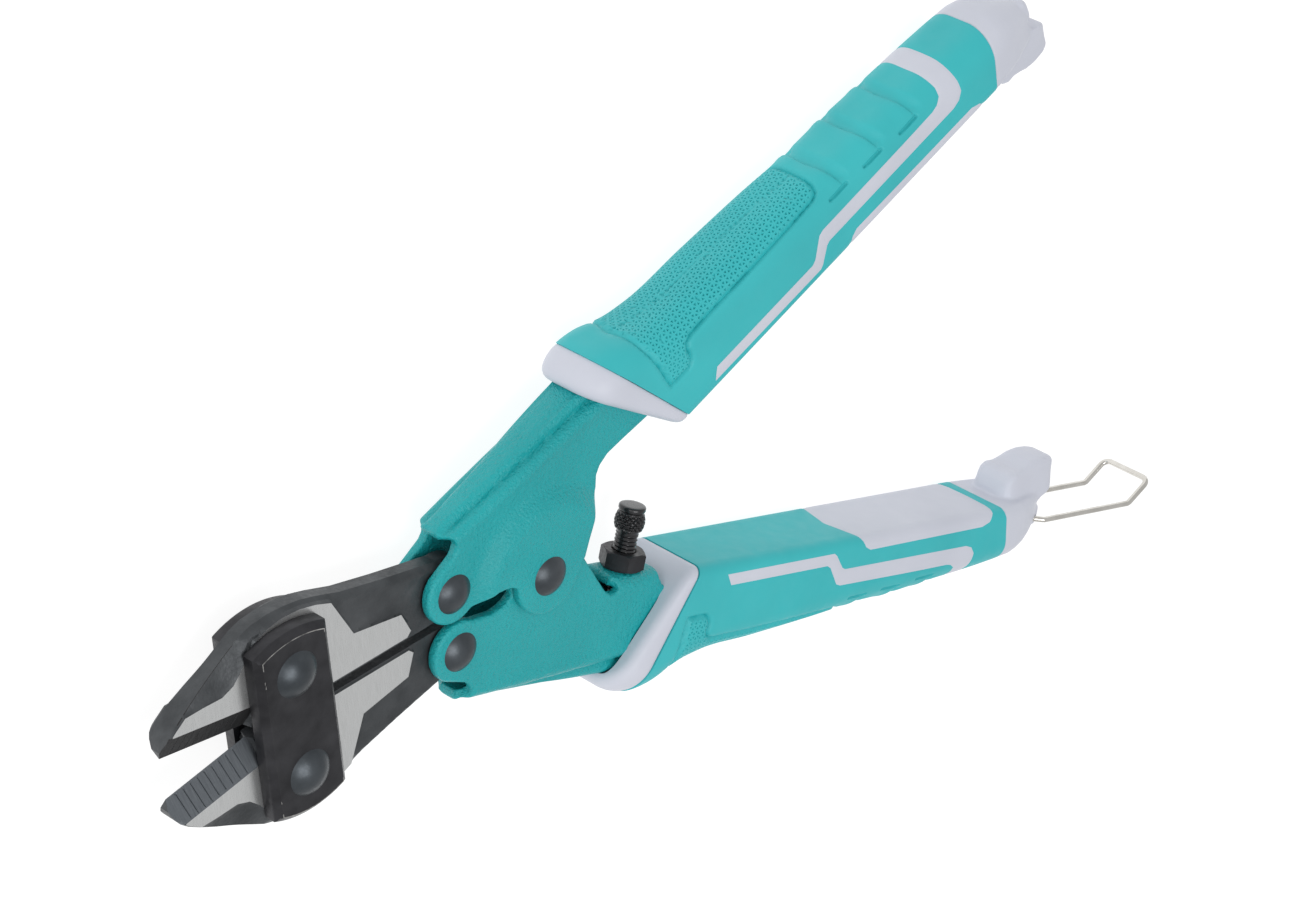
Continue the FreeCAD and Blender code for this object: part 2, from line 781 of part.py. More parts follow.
doc.recompute()
for obj in doc.Objects:
    if "Invalid" in obj.State or "Error" in obj.State:
        raise RuntimeError(f"{obj.Label} did not compute: {obj.State}")
for obj in SUBPARTS:
    shape = obj.Shape
    if shape.isNull() or not shape.isValid():
        raise RuntimeError(f"{obj.Label} has no valid shape")

os.makedirs("parts", exist_ok=True)
whole = FreeCAD.BoundBox()
for obj in SUBPARTS:
    obj.Shape.exportStep(f"parts/{obj.Label}.step")
    box = obj.Shape.BoundBox
    whole.add(box)
    print(f"{obj.Label}: {len(obj.Shape.Solids)} solid, {obj.Shape.Volume:.1f} mm3, "
          f"x {box.XMin:.1f} to {box.XMax:.1f}, y {box.YMin:.1f} to {box.YMax:.1f}, "
          f"z {box.ZMin:.1f} to {box.ZMax:.1f}")
print("box", whole)
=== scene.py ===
import math
import bmesh
import bpy
import numpy as np
from mathutils import Matrix, Vector
from mathutils.geometry import delaunay_2d_cdt


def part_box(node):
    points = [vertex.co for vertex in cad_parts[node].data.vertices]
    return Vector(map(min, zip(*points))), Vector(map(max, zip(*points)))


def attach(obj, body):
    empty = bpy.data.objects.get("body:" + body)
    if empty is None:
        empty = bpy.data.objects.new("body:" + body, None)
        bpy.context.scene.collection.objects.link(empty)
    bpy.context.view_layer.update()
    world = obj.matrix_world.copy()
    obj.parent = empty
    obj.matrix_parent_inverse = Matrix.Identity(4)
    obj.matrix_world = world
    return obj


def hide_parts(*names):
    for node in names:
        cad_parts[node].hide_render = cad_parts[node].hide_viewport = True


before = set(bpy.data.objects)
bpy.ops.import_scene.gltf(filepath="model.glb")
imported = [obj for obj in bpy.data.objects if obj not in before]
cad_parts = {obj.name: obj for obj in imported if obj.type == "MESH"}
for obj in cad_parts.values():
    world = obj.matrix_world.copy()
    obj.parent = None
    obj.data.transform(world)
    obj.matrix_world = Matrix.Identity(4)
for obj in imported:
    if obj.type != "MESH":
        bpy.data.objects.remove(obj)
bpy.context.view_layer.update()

# Shapes are worked out in millimetres in three frames that share the main pivot:
#   tool frame (x towards the grips, y towards the upper handle, z up),
#   handle frame (s along a grip, m outwards, z up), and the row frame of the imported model.
MM = 0.001
low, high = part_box("main_rivet")
PIVOT = np.array((low + high) / 2) / MM
REST = math.radians(20.2)
COS, SIN = math.cos(REST), math.sin(REST)
SIDES = ("upper", "lower")


# ------------ frames

def from_tool(points, side):
    p = np.array(points, float).reshape(-1, 3)
    if side == "lower":
        p = p * (1, -1, -1)
    return (p + PIVOT) * MM


def from_handle(points, side):
    p = np.array(points, float).reshape(-1, 3)
    x = p[:, 0] * COS - p[:, 1] * SIN
    y = p[:, 0] * SIN + p[:, 1] * COS
    return from_tool(np.column_stack((x, y, p[:, 2])), side)


# ------------ plane geometry

def smooth_curve(knots, step=0.25):
    """A function through the knots, eased between them."""
    xs, ys = np.array(knots, float).T
    slopes = np.gradient(ys, xs)
    grid = np.arange(xs[0], xs[-1] + step, step)
    i = np.clip(np.searchsorted(xs, grid, "right") - 1, 0, len(xs) - 2)
    width = xs[i + 1] - xs[i]
    t = np.clip((grid - xs[i]) / width, 0, 1)
    value = (
        (2 * t**3 - 3 * t**2 + 1) * ys[i] + (t**3 - 2 * t**2 + t) * width * slopes[i]
        + (3 * t**2 - 2 * t**3) * ys[i + 1] + (t**3 - t**2) * width * slopes[i + 1]
    )
    return lambda x: np.interp(x, grid, value)


def ease(value, start, end):
    t = np.clip((np.asarray(value, float) - start) / (end - start), 0, 1)
    return t * t * (3 - 2 * t)


def arc(centre, radius, start, end, count=14):
    angles = np.radians(np.linspace(start, end, count))
    return [(centre[0] + radius * math.cos(a), centre[1] + radius * math.sin(a)) for a in angles]


def dense(line, step, closed=True):
    """The line with points no further apart than step."""
    line = np.array(line, float)
    ends = np.roll(line, -1, axis=0) if closed else line[1:]
    out = []
    for a, b in zip(line, ends):
        count = max(1, int(math.ceil(np.linalg.norm(b - a) / step)))
        out.extend(a + (b - a) * k / count for k in range(count))
    if not closed:
        out.append(line[-1])
    return np.array(out)


def distance(points, line, closed=True):
    """The distance from each point to the nearest part of a line."""
    line = np.array(line, float)
    a = line if closed else line[:-1]
    b = np.roll(line, -1, axis=0) if closed else line[1:]
    run = b - a
    length = np.maximum((run**2).sum(1), 1e-12)
    out = np.empty(len(points))
    for k in range(0, len(points), 2000):
        p = points[k:k + 2000, None, :] - a[None]
        t = np.clip((p * run[None]).sum(2) / length[None], 0, 1)
        gap = p - t[..., None] * run[None]
        out[k:k + 2000] = np.sqrt((gap**2).sum(2).min(1))
    return out


def nearest(points, walls):
    """The distance from each point to the nearest of some lines, each given with whether it closes."""
    return np.min([distance(points, line, closed) for line, closed in walls], axis=0)


def inside(points, loops):
    """Whether each point is inside, with the loops crossed an odd number of times."""
    found = np.zeros(len(points), bool)
    x, y = points[:, 0], points[:, 1]
    for loop in loops:
        loop = np.array(loop, float)
        for (ax, ay), (bx, by) in zip(loop, np.roll(loop, -1, axis=0)):
            if ay == by:
                continue
            over = (y < ay) != (y < by)
            found ^= over & (x < (bx - ax) * (y - ay) / (by - ay) + ax)
    return found


def grid_points(loop, spacing):
    """A staggered grid of points over a loop's box."""
    x0, y0 = np.min(loop, axis=0)
    x1, y1 = np.max(loop, axis=0)
    rows = np.arange(y0, y1, spacing * 0.866)
    cols = np.arange(x0, x1 + spacing, spacing)
    return np.array([(x + (k % 2) * spacing / 2, y) for k, y in enumerate(rows) for x in cols])


def beside(loop, offsets):
    """Rows of points at set distances inside a counter-clockwise or clockwise loop."""
    loop = np.array(loop, float)
    heading = np.roll(loop, -1, axis=0) - np.roll(loop, 1, axis=0)
    heading /= np.maximum(np.linalg.norm(heading, axis=1), 1e-9)[:, None]
    normal = np.column_stack((-heading[:, 1], heading[:, 0]))
    area = (loop[:, 0] * np.roll(loop[:, 1], -1) - loop[:, 1] * np.roll(loop[:, 0], -1)).sum()
    if area < 0:
        normal = -normal
    return np.vstack([loop + normal * gap for gap in offsets])


def mesh_plan(outline, holes=(), lines=(), spacing=0.8, rim=(), fine=(), extra=()):
    """Triangles over an outline, conforming to its holes and to the lines drawn on it.

    rim sets rows of points at these distances inside every edge, fine gives patches their own
    spacing, and extra adds sets of points.
    """
    loops = [dense(loop, spacing) for loop in (outline, *holes)]
    edging = [(loop, True) for loop in loops]
    walls = edging + [(dense(line, spacing, closed), closed) for line, closed in lines]
    loose = [grid_points(loops[0], spacing)]
    for patch, pitch in fine:
        closer = grid_points(patch, pitch)
        loose[0] = loose[0][~inside(loose[0], [patch])]
        loose.append(closer[inside(closer, [patch])])
    loose = np.vstack([*loose, *extra])
    keep = nearest(loose, walls) > 0.12
    if rim:
        keep &= nearest(loose, edging) > max(rim[-1] * 1.25, spacing * 0.35)
    loose = loose[keep]
    loose = loose[inside(loose, loops)]
    if rim:
        rows = [beside(loops[0], rim)]
        for hole in loops[1:]:
            centre = hole.mean(0)
            away = (hole - centre) / np.linalg.norm(hole - centre, axis=1)[:, None]
            rows.extend(hole + away * g for g in rim)
        rows = np.vstack(rows)
        rows = rows[inside(rows, loops)]
        loose = np.vstack((loose, rows[nearest(rows, edging) > rim[0] * 0.8]))
    coords, edges = [], []
    for wall, closed in walls:
        first = len(coords)
        coords.extend(Vector(p) for p in wall)
        last = len(coords)
        edges.extend((k, k + 1) for k in range(first, last - 1))
        if closed:
            edges.append((last - 1, first))
    coords.extend(Vector(p) for p in loose)
    verts, _, faces, *_ = delaunay_2d_cdt(coords, edges, [], 0, 1e-5)
    verts = np.array([tuple(v) for v in verts])
    faces = np.array([f for f in faces if len(f) == 3])
    middle = verts[faces].mean(1)
    faces = faces[inside(middle, loops)]
    return verts, faces, loops


def rim_edges(faces):
    """The directed edges that only one triangle uses."""
    pairs = np.vstack((faces[:, [0, 1]], faces[:, [1, 2]], faces[:, [2, 0]]))
    seen = {tuple(p) for p in pairs}
    return [p for p in map(tuple, pairs) if (p[1], p[0]) not in seen]


def skin(outer, inner, faces, open_edge=None):
    """A closed shell between two layers that share their triangles."""
    count = len(outer)
    polygons = [tuple(f) for f in faces] + [tuple(f[::-1] + count) for f in faces]
    for a, b in rim_edges(faces):
        if open_edge is None or not (open_edge[a] and open_edge[b]):
            polygons.append((b, a, a + count, b + count))
    return np.vstack((outer, inner)), polygons


def with_mirror(points, polygons):
    """The piece and its twin below the mid-plane."""
    count = len(points)
    twin = points * (1, 1, -1)
    flipped = [tuple(k + count for k in reversed(p)) for p in polygons]
    return np.vstack((points, twin)), list(polygons) + flipped


def round_depth(gap, radius):
    """How far a rounded edge drops at a distance from it."""
    t = np.clip(radius - gap, 0, radius)
    return radius - np.sqrt(np.maximum(radius**2 - t**2, 0))


# ------------ objects

def build(name, points, polygons, materials, body, slot, nodes, sharp, marks=None, weld=0.002):
    """A mesh object in the row frame that rides on a body and stands for CAD nodes."""
    mesh = bpy.data.meshes.new(name)
    used = np.unique([k for p in polygons for k in p])
    index = np.full(len(points), -1)
    index[used] = np.arange(len(used))
    mesh.from_pydata([tuple(p) for p in points[used]], [], [[int(index[k]) for k in p] for p in polygons])
    for material in materials:
        mesh.materials.append(material)
    if marks is not None:
        mesh.polygons.foreach_set("material_index", np.array(marks, np.int32))
    net = bmesh.new()
    net.from_mesh(mesh)
    bmesh.ops.remove_doubles(net, verts=net.verts, dist=weld * MM)
    bmesh.ops.dissolve_degenerate(net, dist=1e-7, edges=net.edges)
    net.to_mesh(mesh)
    net.free()
    mesh.polygons.foreach_set("use_smooth", [True] * len(mesh.polygons))
    mesh.set_sharp_from_angle(angle=math.radians(sharp))
    piece = bpy.data.objects.new(name, mesh)
    bpy.context.scene.collection.objects.link(piece)
    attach(piece, body)
    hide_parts(*nodes)


def loft(rings, loop=False):
    """Quads between rings of equal count: joined into a loop, or with the ends closed by fans."""
    count = len(rings[0])
    points = np.vstack(rings)
    polygons = []
    total = len(rings) if loop else len(rings) - 1
    for k in range(total):
        base, top = k * count, ((k + 1) % len(rings)) * count
        for j in range(count):
            n = (j + 1) % count
            polygons.append((top + j, top + n, base + n, base + j))
    if not loop:
        first = len(points)
        points = np.vstack((points, rings[0].mean(0), rings[-1].mean(0)))
        last = (len(rings) - 1) * count
        for j in range(count):
            n = (j + 1) % count
            polygons.append((first, j, n))
            polygons.append((first + 1, last + n, last + j))
    return points, polygons


def turned(profile, count=64, axis="z", shape=None, loop=False):
    """A solid of revolution from (radius, height) pairs; shape may alter the radii."""
    rings = []
    for radius, height in profile:
        angles = np.linspace(0, 2 * math.pi, count, endpoint=False)
        r = np.full(count, float(radius))
        if shape is not None:
            r = shape(angles, r, height)
        a, b = r * np.cos(angles), r * np.sin(angles)
        h = np.full(count, float(height))
        rings.append(np.column_stack((a, b, h)) if axis == "z" else np.column_stack((b, h, a)))
    return loft(rings, loop)


def facing_up(points, faces, way=1.0):
    """The triangles, turned over if the first of them faces down."""
    a, b, c = points[faces[0]][:, :2]
    turn = (b[0] - a[0]) * (c[1] - a[1]) - (b[1] - a[1]) * (c[0] - a[0])
    return faces[:, ::-1] if turn * way < 0 else faces


# ------------ materials

def put(made, **values):
    """The node with its inputs set; an underscore stands for a space in an input's name."""
    for key, value in values.items():
        made.inputs[key.replace("_", " ")].default_value = value
    return made


def node(tree, kind, **values):
    return put(tree.nodes.new(kind), **values)


def noise(tree, coords, scale, detail=3.0, stretch=None):
    source = coords
    if stretch is not None:
        shift = node(tree, "ShaderNodeMapping", Scale=stretch)
        tree.links.new(coords, shift.inputs["Vector"])
        source = shift.outputs["Vector"]
    made = node(tree, "ShaderNodeTexNoise", Scale=scale, Detail=detail)
    tree.links.new(source, made.inputs["Vector"])
    return made.outputs["Fac"]


def ramp(tree, value, stops):
    made = node(tree, "ShaderNodeValToRGB")
    while len(made.color_ramp.elements) < len(stops):
        made.color_ramp.elements.new(0.5)
    for element, (place, colour) in zip(made.color_ramp.elements, stops):
        element.position = place
        element.color = (*colour, 1.0)
    tree.links.new(value, made.inputs["Fac"])
    return made.outputs["Color"]


NOISE_LOW, NOISE_HIGH = 0.3, 0.7


def shade(name, tones, rough, metallic=0.0, bumps=(), cloud=60.0, coat=0.0, specular=0.5, stretch=None):
    """A procedural finish: tones spread by noise, a roughness range and layers of fine bump.

    Each bump is a noise scale, a strength, a depth in millimetres and, if it has a grain, its stretch.
    """
    made = bpy.data.materials.new(name)
    made.use_nodes = True
    tree = made.node_tree
    shader = tree.nodes["Principled BSDF"]
    coords = node(tree, "ShaderNodeTexCoord").outputs["Object"]
    blotches = noise(tree, coords, cloud, 4.0, stretch)
    places = np.linspace(NOISE_LOW, NOISE_HIGH, len(tones))
    tree.links.new(ramp(tree, blotches, list(zip(places, tones))), shader.inputs["Base Color"])
    grain = noise(tree, coords, cloud * 7, 3.0, stretch)
    spread = node(tree, "ShaderNodeMapRange", From_Min=NOISE_LOW, From_Max=NOISE_HIGH,
                  To_Min=rough[0], To_Max=rough[1])
    tree.links.new(grain, spread.inputs["Value"])
    tree.links.new(spread.outputs["Result"], shader.inputs["Roughness"])
    put(shader, Metallic=metallic, Coat_Weight=coat, Coat_Roughness=0.25, Specular_IOR_Level=specular)
    last = None
    for scale, strength, depth, *grained in bumps:
        bump = node(tree, "ShaderNodeBump", Strength=strength, Distance=depth * MM)
        tree.links.new(noise(tree, coords, scale, 2.0, *grained), bump.inputs["Height"])
        if last is not None:
            tree.links.new(last, bump.inputs["Normal"])
        last = bump.outputs["Normal"]
    if last is not None:
        tree.links.new(last, shader.inputs["Normal"])
    return made


ACROSS = (30.0, 1.0, 1.0)
TEAL_PAINT = shade("teal_powder_coat", [(0.008, 0.35, 0.37), (0.012, 0.40, 0.42)], (0.30, 0.42),
                   bumps=[(1800.0, 1.0, 0.32), (3600.0, 0.6, 0.08)], coat=0.1, specular=0.35)
TEAL_GRIP = shade("teal_elastomer", [(0.030, 0.45, 0.48), (0.036, 0.50, 0.53)], (0.48, 0.60),
                  bumps=[(3200.0, 0.20, 0.03)])
GREY = shade("grey_moulding", [(0.58, 0.60, 0.68), (0.63, 0.65, 0.73)], (0.42, 0.55),
             bumps=[(2800.0, 0.15, 0.03)])
BLACK = shade("black_oxide", [(0.020, 0.020, 0.023), (0.045, 0.045, 0.05)], (0.30, 0.46), 0.6,
              bumps=[(700.0, 0.25, 0.08), (3000.0, 0.25, 0.03)], cloud=220.0)
GLOSS = shade("glossy_black", [(0.016, 0.016, 0.018), (0.032, 0.032, 0.035)], (0.14, 0.28), 0.5,
              bumps=[(2500.0, 0.35, 0.05)], cloud=400.0, coat=0.4)
HEAD = shade("rivet_steel", [(0.046, 0.054, 0.062), (0.076, 0.087, 0.098)], (0.32, 0.42), 0.8,
             bumps=[(500.0, 0.35, 0.10)], cloud=300.0, coat=0.2)
# bright edge steel for the plates' chamfer ridge: wear where it is rubbed, and a painted highlight along the
# crowns
WORN_AND_HIGHLIT = shade("worn_and_highlit_edge", [(0.10, 0.10, 0.10), (0.55, 0.54, 0.52)], (0.3, 0.45), 0.6, cloud=700.0)
FORGED = shade("forged_black", [(0.040, 0.044, 0.048), (0.082, 0.088, 0.094)], (0.40, 0.55), 0.5,
               bumps=[(420.0, 0.45, 0.22), (1800.0, 0.6, 0.10)], cloud=180.0)
GROUND = shade("ground_steel", [(0.62, 0.63, 0.63), (0.72, 0.73, 0.73)], (0.26, 0.36), 0.9,
               bumps=[(900.0, 0.15, 0.02, ACROSS)], cloud=300.0, stretch=ACROSS)
BEVEL = shade("bevel_steel", [(0.10, 0.112, 0.125), (0.145, 0.158, 0.172)], (0.34, 0.48), 0.8,
              bumps=[(900.0, 0.2, 0.03, ACROSS)], cloud=300.0, stretch=ACROSS)
# a darker copy of the bevel steel as painted shade, for the upper jaw's bevel and for the line along the
# blade's crease
PAINTED_SHADE_BEVEL = shade("bevel_steel_in_painted_shade", [(0.012, 0.012, 0.013), (0.035, 0.035, 0.036)], (0.4, 0.6), 0.4,
                   bumps=[(900.0, 0.3, 0.05, ACROSS)], cloud=300.0, stretch=ACROSS)
WIRE = shade("bright_wire", [(0.60, 0.58, 0.54), (0.75, 0.73, 0.69)], (0.12, 0.22), 1.0,
             bumps=[(2500.0, 0.12, 0.02)], cloud=300.0)

# ------------ grips

GRIP_HALF, GRIP_INNER, EDGE_ROUND, PALM_ROUND, SKIN_THICK = 8.0, 3.2, 2.0, 6.0, 1.15
EDGE_M = GRIP_INNER + EDGE_ROUND
palm = smooth_curve([
    (16.0, 22.6), (20.5, 25.0), (25.6, 26.5), (30.6, 25.6), (35.6, 23.0), (41.5, 21.4), (55, 20.5),
    (70, 19.4), (82, 18.3), (92, 17.9), (102, 17.0), (112, 16.2), (121, 15.2), (130, 13.6),
])
Y_LOW = EDGE_M - EDGE_ROUND * math.pi / 2 - (GRIP_HALF - EDGE_ROUND)
PALM_ARC = PALM_ROUND * math.pi / 2


def grip_surface(s, y, depth=0.0):
    """The grip's upper half from its unrolled sheet: y runs from the inner face to the palm."""
    crown = palm(s) - PALM_ROUND
    under = np.clip((EDGE_M - y) / EDGE_ROUND, 0, math.pi / 2)
    over = np.clip((y - crown) / PALM_ROUND, 0, math.pi / 2)
    m = np.clip(y, EDGE_M, None)
    m = np.minimum(m, np.maximum(crown, EDGE_M))
    m = m - EDGE_ROUND * np.sin(under) + PALM_ROUND * np.sin(over)
    z = GRIP_HALF - EDGE_ROUND * (1 - np.cos(under)) - PALM_ROUND * (1 - np.cos(over))
    z = z - np.clip(EDGE_M - y - EDGE_ROUND * math.pi / 2, 0, None)
    z = z - np.clip(y - crown - PALM_ARC, 0, None)
    n_m = np.sin(over) - np.sin(under)
    n_z = np.where(over > 0, np.cos(over), np.cos(under))
    slope = (palm(s + 0.5) - palm(s - 0.5)) * np.sin(over)
    size = np.sqrt(1 + slope**2)
    m_out = m - depth * n_m / size
    z_out = np.clip(z - depth * n_z / size, 0, None)
    z_out = np.where(z < 1e-4, 0.0, z_out)
    return np.column_stack((s + depth * slope / size, m_out, z_out)), m


def slanted(start, end):
    """A straight joint line across the grip: s as a function of m."""
    slope = (end[0] - start[0]) / (end[1] - start[1])
    return lambda m: start[0] + (m - start[1]) * slope


COLLAR_FRONT = slanted((33.8, 3.2), (19.4, 25.0))
COLLAR_BACK = slanted((36.2, 3.2), (25.6, 27.0))
CAP_JOINT = slanted((117.6, 3.2), (121.0, 15.2))


def joint_on_sheet(line, count=90):
    """A joint line drawn on the unrolled sheet."""
    s = np.full(count, line(10.0))
    for _ in range(12):
        y = Y_LOW + (sheet_top(s) - Y_LOW) * np.linspace(0, 1, count)
        _, m = grip_surface(s, y)
        s = line(m)
    return np.column_stack((s, y))


def crown_at(s):
    return float(palm(s)) - PALM_ROUND


def sheet_top(s):
    return palm(s) - PALM_ROUND + PALM_ARC + GRIP_HALF - PALM_ROUND


def on_palm(s):
    return s, float(sheet_top(s))


front_line, rear_line = joint_on_sheet(COLLAR_BACK), joint_on_sheet(CAP_JOINT)
PANEL_FRONT, PANEL_BACK, BAND_FRONT, BAND_BACK = 32.8, 77.8, 106.7, 111.2
palm_stops = [*np.arange(front_line[-1][0] + 0.6, PANEL_FRONT - 0.2, 0.6)]
for start, end in ((PANEL_FRONT, PANEL_BACK), (PANEL_BACK, BAND_FRONT), (BAND_FRONT, BAND_BACK),
                   (BAND_BACK, rear_line[-1][0])):
    palm_stops += [*np.linspace(start, end, int((end - start) / 0.6) + 1)[:-1]]
palm_line = [on_palm(s) for s in palm_stops]
GRIP_OUTLINE = [*map(tuple, rear_line), *palm_line[::-1], *map(tuple, front_line[::-1])]

STRIPE = [
    (43.0, 5.3), (70.6, 5.3), (71.4, 5.8), (73.6, 8.4), (74.4, 8.8), (107.9, 9.0), (109.6, 9.5),
    (110.7, 10.8), (111.0, 12.8), on_palm(BAND_BACK),
    *[p for p in palm_line[::-1] if BAND_FRONT < p[0] < BAND_BACK - 0.1],
    on_palm(BAND_FRONT), (106.8, 15.0), (106.3, 13.4), (105.0, 12.5), (103.6, 12.2),
    (74.0, 11.9), (72.9, 11.5), (70.3, 8.0), (69.4, 7.5), (44.4, 7.5),
]
PAD = [
    (75.6, Y_LOW), (77.2, 2.2), (79.0, 5.2), (80.4, 5.9), (111.5, 5.7), (113.4, 5.0), (114.6, 3.4),
    (115.4, 0.5), (115.6, Y_LOW),
]
PANEL = [
    (35.0, 12.4), (39.2, 12.3), (40.4, 12.9), (40.9, 14.2), (40.7, 15.7), (41.3, 16.9), (42.6, 17.4),
    (49.5, 17.5), (59.8, 17.4), (70.0, 17.4), (75.6, 17.5), (77.0, 18.1), (77.6, 19.4), (PANEL_BACK, 21.5),
    on_palm(PANEL_BACK), on_palm(PANEL_FRONT),
    (33.5, 26.5), (34.2, 20.0), (34.8, 14.0),
]
RINGS = (81.6, 91.0, 100.4)
RING_LEAN, RING_DEEP = 0.9, 0.75
RING_LINES = [
    [(s0 - RING_LEAN * k / 8, crown_at(s0) + 3.4 + k * (PALM_ARC - 1.4) / 8) for k in range(9)]
    for s0 in RINGS
]
SLOTS = [((s0, crown_at(s0 + 2) + 2.8), (s0 + 4.4, crown_at(s0 + 2) + 2.7)) for s0 in (78.0, 86.9, 96.1)]
# the drawn borders without the parts that run along the grip's mid-plane
STRIPE_TOP = STRIPE.index(on_palm(BAND_FRONT))
STRIPE_EDGE = STRIPE[STRIPE_TOP:] + STRIPE[:10]
PANEL_TOP = next(k for k, p in enumerate(PANEL) if p[1] > crown_at(p[0]) + 10)
PANEL_EDGE = PANEL[PANEL_TOP + 1:] + PANEL[:PANEL_TOP + 1]
PANEL_GROOVE, PANEL_GROOVE_WIDTH, PANEL_DROP, STUD_HEIGHT = 0.58, 0.27, 0.22, 0.34
SLOT_DEEP, SEAM_DEEP, SEAM_WIDTH = 0.55, 0.10, 0.16
STUD_PITCH, STUD_TOP = 1.14, 0.34
STUD_ROW = STUD_PITCH * math.sqrt(3) / 2
STUD_CORNER = STUD_PITCH / math.sqrt(3)


def stud_points():
    """Points that outline hexagonal studs inside the panel: a middle, a flat top and a valley."""
    x0, y0 = np.min(PANEL, axis=0)
    x1, y1 = np.max(PANEL, axis=0)
    rows = range(math.ceil(y0 / STUD_ROW), math.floor(y1 / STUD_ROW) + 1)
    cols = range(math.ceil(x0 / STUD_PITCH), math.floor(x1 / STUD_PITCH) + 1)
    middles = np.array([((c + (r % 2) * 0.5) * STUD_PITCH, r * STUD_ROW) for r in rows for c in cols])
    turns = np.radians(np.arange(6) * 60 + 30)
    spokes = np.column_stack((np.cos(turns), np.sin(turns)))
    rings = [middles] + [middles + spoke * STUD_TOP for spoke in spokes]
    rings += [middles + spokes[k] * STUD_CORNER for k in (0, 1)]
    points = np.vstack(rings)
    points = points[inside(points, [PANEL])]
    return points[distance(points, PANEL_EDGE, closed=False) > 0.45]


def studs(points):
    """The height of the studs: one on their tops, nought in the valleys."""
    v = points[:, 1] / STUD_ROW
    best = np.full(len(points), 9.0)
    for k in (-1, 0, 1):
        r = np.round(v) + k
        shift = (r % 2) * 0.5
        c = np.round(points[:, 0] / STUD_PITCH - shift) + shift
        gap = np.hypot(points[:, 0] - c * STUD_PITCH, points[:, 1] - r * STUD_ROW)
        best = np.minimum(best, gap)
    return 1 - ease(best, STUD_TOP, STUD_CORNER)


def grip_depth(points):
    """How far the skin lies below the plain grip surface."""
    s, y = points.T
    crown = palm(s) - PALM_ROUND
    panel_gap = distance(points, PANEL_EDGE, closed=False)
    within = inside(points, [PANEL])
    depth = PANEL_GROOVE * np.exp(-((panel_gap / PANEL_GROOVE_WIDTH) ** 2))
    depth += np.where(within, PANEL_DROP - STUD_HEIGHT * studs(points) * ease(panel_gap, 0.4, 0.75), 0)
    for s0 in RINGS:
        here = s - (s0 - RING_LEAN * ease(y - crown, 3.0, 11.0))
        side = ease(y - crown, 2.9, 5.0)
        step = RING_DEEP * np.where(here >= 0, 1 - ease(here, 0.9, 2.7), np.exp(here / 0.10))
        depth += step * side - 0.14 * side * np.exp(-((here + 1.3) / 1.1) ** 2)
    for slot in SLOTS:
        gap = distance(points, slot, closed=False)
        depth += SLOT_DEEP * (1 - ease(gap, 0.16, 0.42))
    for line in (STRIPE_EDGE, PAD):
        depth += SEAM_DEEP * np.exp(-((distance(points, line, closed=False) / SEAM_WIDTH) ** 2))
    return depth


def grip_sheet():
    """The triangles of the unrolled grip, with the stripe, pad, panel, rings and slots drawn on."""
    border = list(PANEL_EDGE)
    border[0] = (border[0][0], border[0][1] - 0.06)
    border[-1] = (border[-1][0], border[-1][1] - 0.06)
    lines = [(STRIPE, True), (PAD, True), (border, False)]
    lines += [(line, False) for line in RING_LINES]
    lines += [([(s - 0.16, y) for s, y in line], False) for line in RING_LINES]
    # the stud points fill the panel, so its own grid is left all but empty
    fine = [(PANEL, 5.0)]
    for slot in SLOTS:
        (a, b), (c, _) = slot
        fine.append(([(a - 1, b - 1), (c + 1, b - 1), (c + 1, b + 1), (a - 1, b + 1)], 0.2))
    for s0 in RINGS:
        y0, y1 = crown_at(s0) + 3.9, float(sheet_top(s0 + 1.4)) - 0.1
        fine.append(([(s0 - 2.0, y0), (s0 + 3.0, y0), (s0 + 3.0, y1), (s0 - 2.0, y1)], 0.36))
    both_sides = np.vstack([beside(dense(border, 0.5, False), (gap,))[1:-1] for gap in (0.32, -0.32)])
    return mesh_plan(GRIP_OUTLINE, lines=lines, spacing=0.75, fine=fine, extra=[stud_points(), both_sides])


def build_grips():
    plan, faces, _ = grip_sheet()
    depth = grip_depth(plan)
    outer, _ = grip_surface(plan[:, 0], plan[:, 1], depth)
    inner, _ = grip_surface(plan[:, 0], plan[:, 1], SKIN_THICK)
    middle = plan[faces].mean(1)
    stripe, pad = inside(middle, [STRIPE]), inside(middle, [PAD])
    faces = facing_up(outer, faces)
    on_middle = outer[:, 2] < 1e-4
    kinds = (
        ("grip_cover", ~(stripe | pad), TEAL_GRIP, "teal_rubber"),
        ("grip_band", stripe, GREY, "grey_plastic"),
        ("grip_inlay", pad, GREY, "grey_plastic"),
    )
    for kind, chosen, material, slot in kinds:
        part = faces[chosen]
        points, polygons = skin(outer, inner, part, on_middle)
        points, polygons = with_mirror(points, polygons)
        for side in SIDES:
            build(f"{kind}_{side}_skin", from_handle(points, side), polygons, [material],
                  f"{side}_handle", slot, [f"{kind}_{side}"], sharp=60)


def section(line, depth, half=GRIP_HALF, inner=GRIP_INNER, top=None, rounds=(EDGE_ROUND, PALM_ROUND)):
    """A closed D-shaped ring where a slanted plane cuts the grip."""
    low_round, top_round = rounds
    half, inner = half - depth, inner + depth
    low_round, top_round = max(low_round - depth, 0.3), max(top_round - depth, 0.5)
    crown = (palm(line(24.0)) if top is None else top)
    for _ in range(6):
        crown = (palm(line(crown)) if top is None else top)
    crown = crown - depth
    pts = [(inner, z) for z in np.linspace(0, half - low_round, 7)[:-1]]
    pts += [(inner + low_round * (1 - math.cos(a)), half - low_round * (1 - math.sin(a)))
            for a in np.linspace(0, math.pi / 2, 8)]
    pts += [(m, half) for m in np.linspace(inner + low_round, crown - top_round, 16)[1:-1]]
    pts += [(crown - top_round * (1 - math.sin(a)), half - top_round * (1 - math.cos(a)))
            for a in np.linspace(0, math.pi / 2, 16)]
    pts += [(crown, z) for z in np.linspace(half - top_round, 0, 5)[1:]]
    pts = pts + [(m, -z) for m, z in pts[-2:0:-1]]
    return np.array([(line(m), m, z) for m, z in pts])


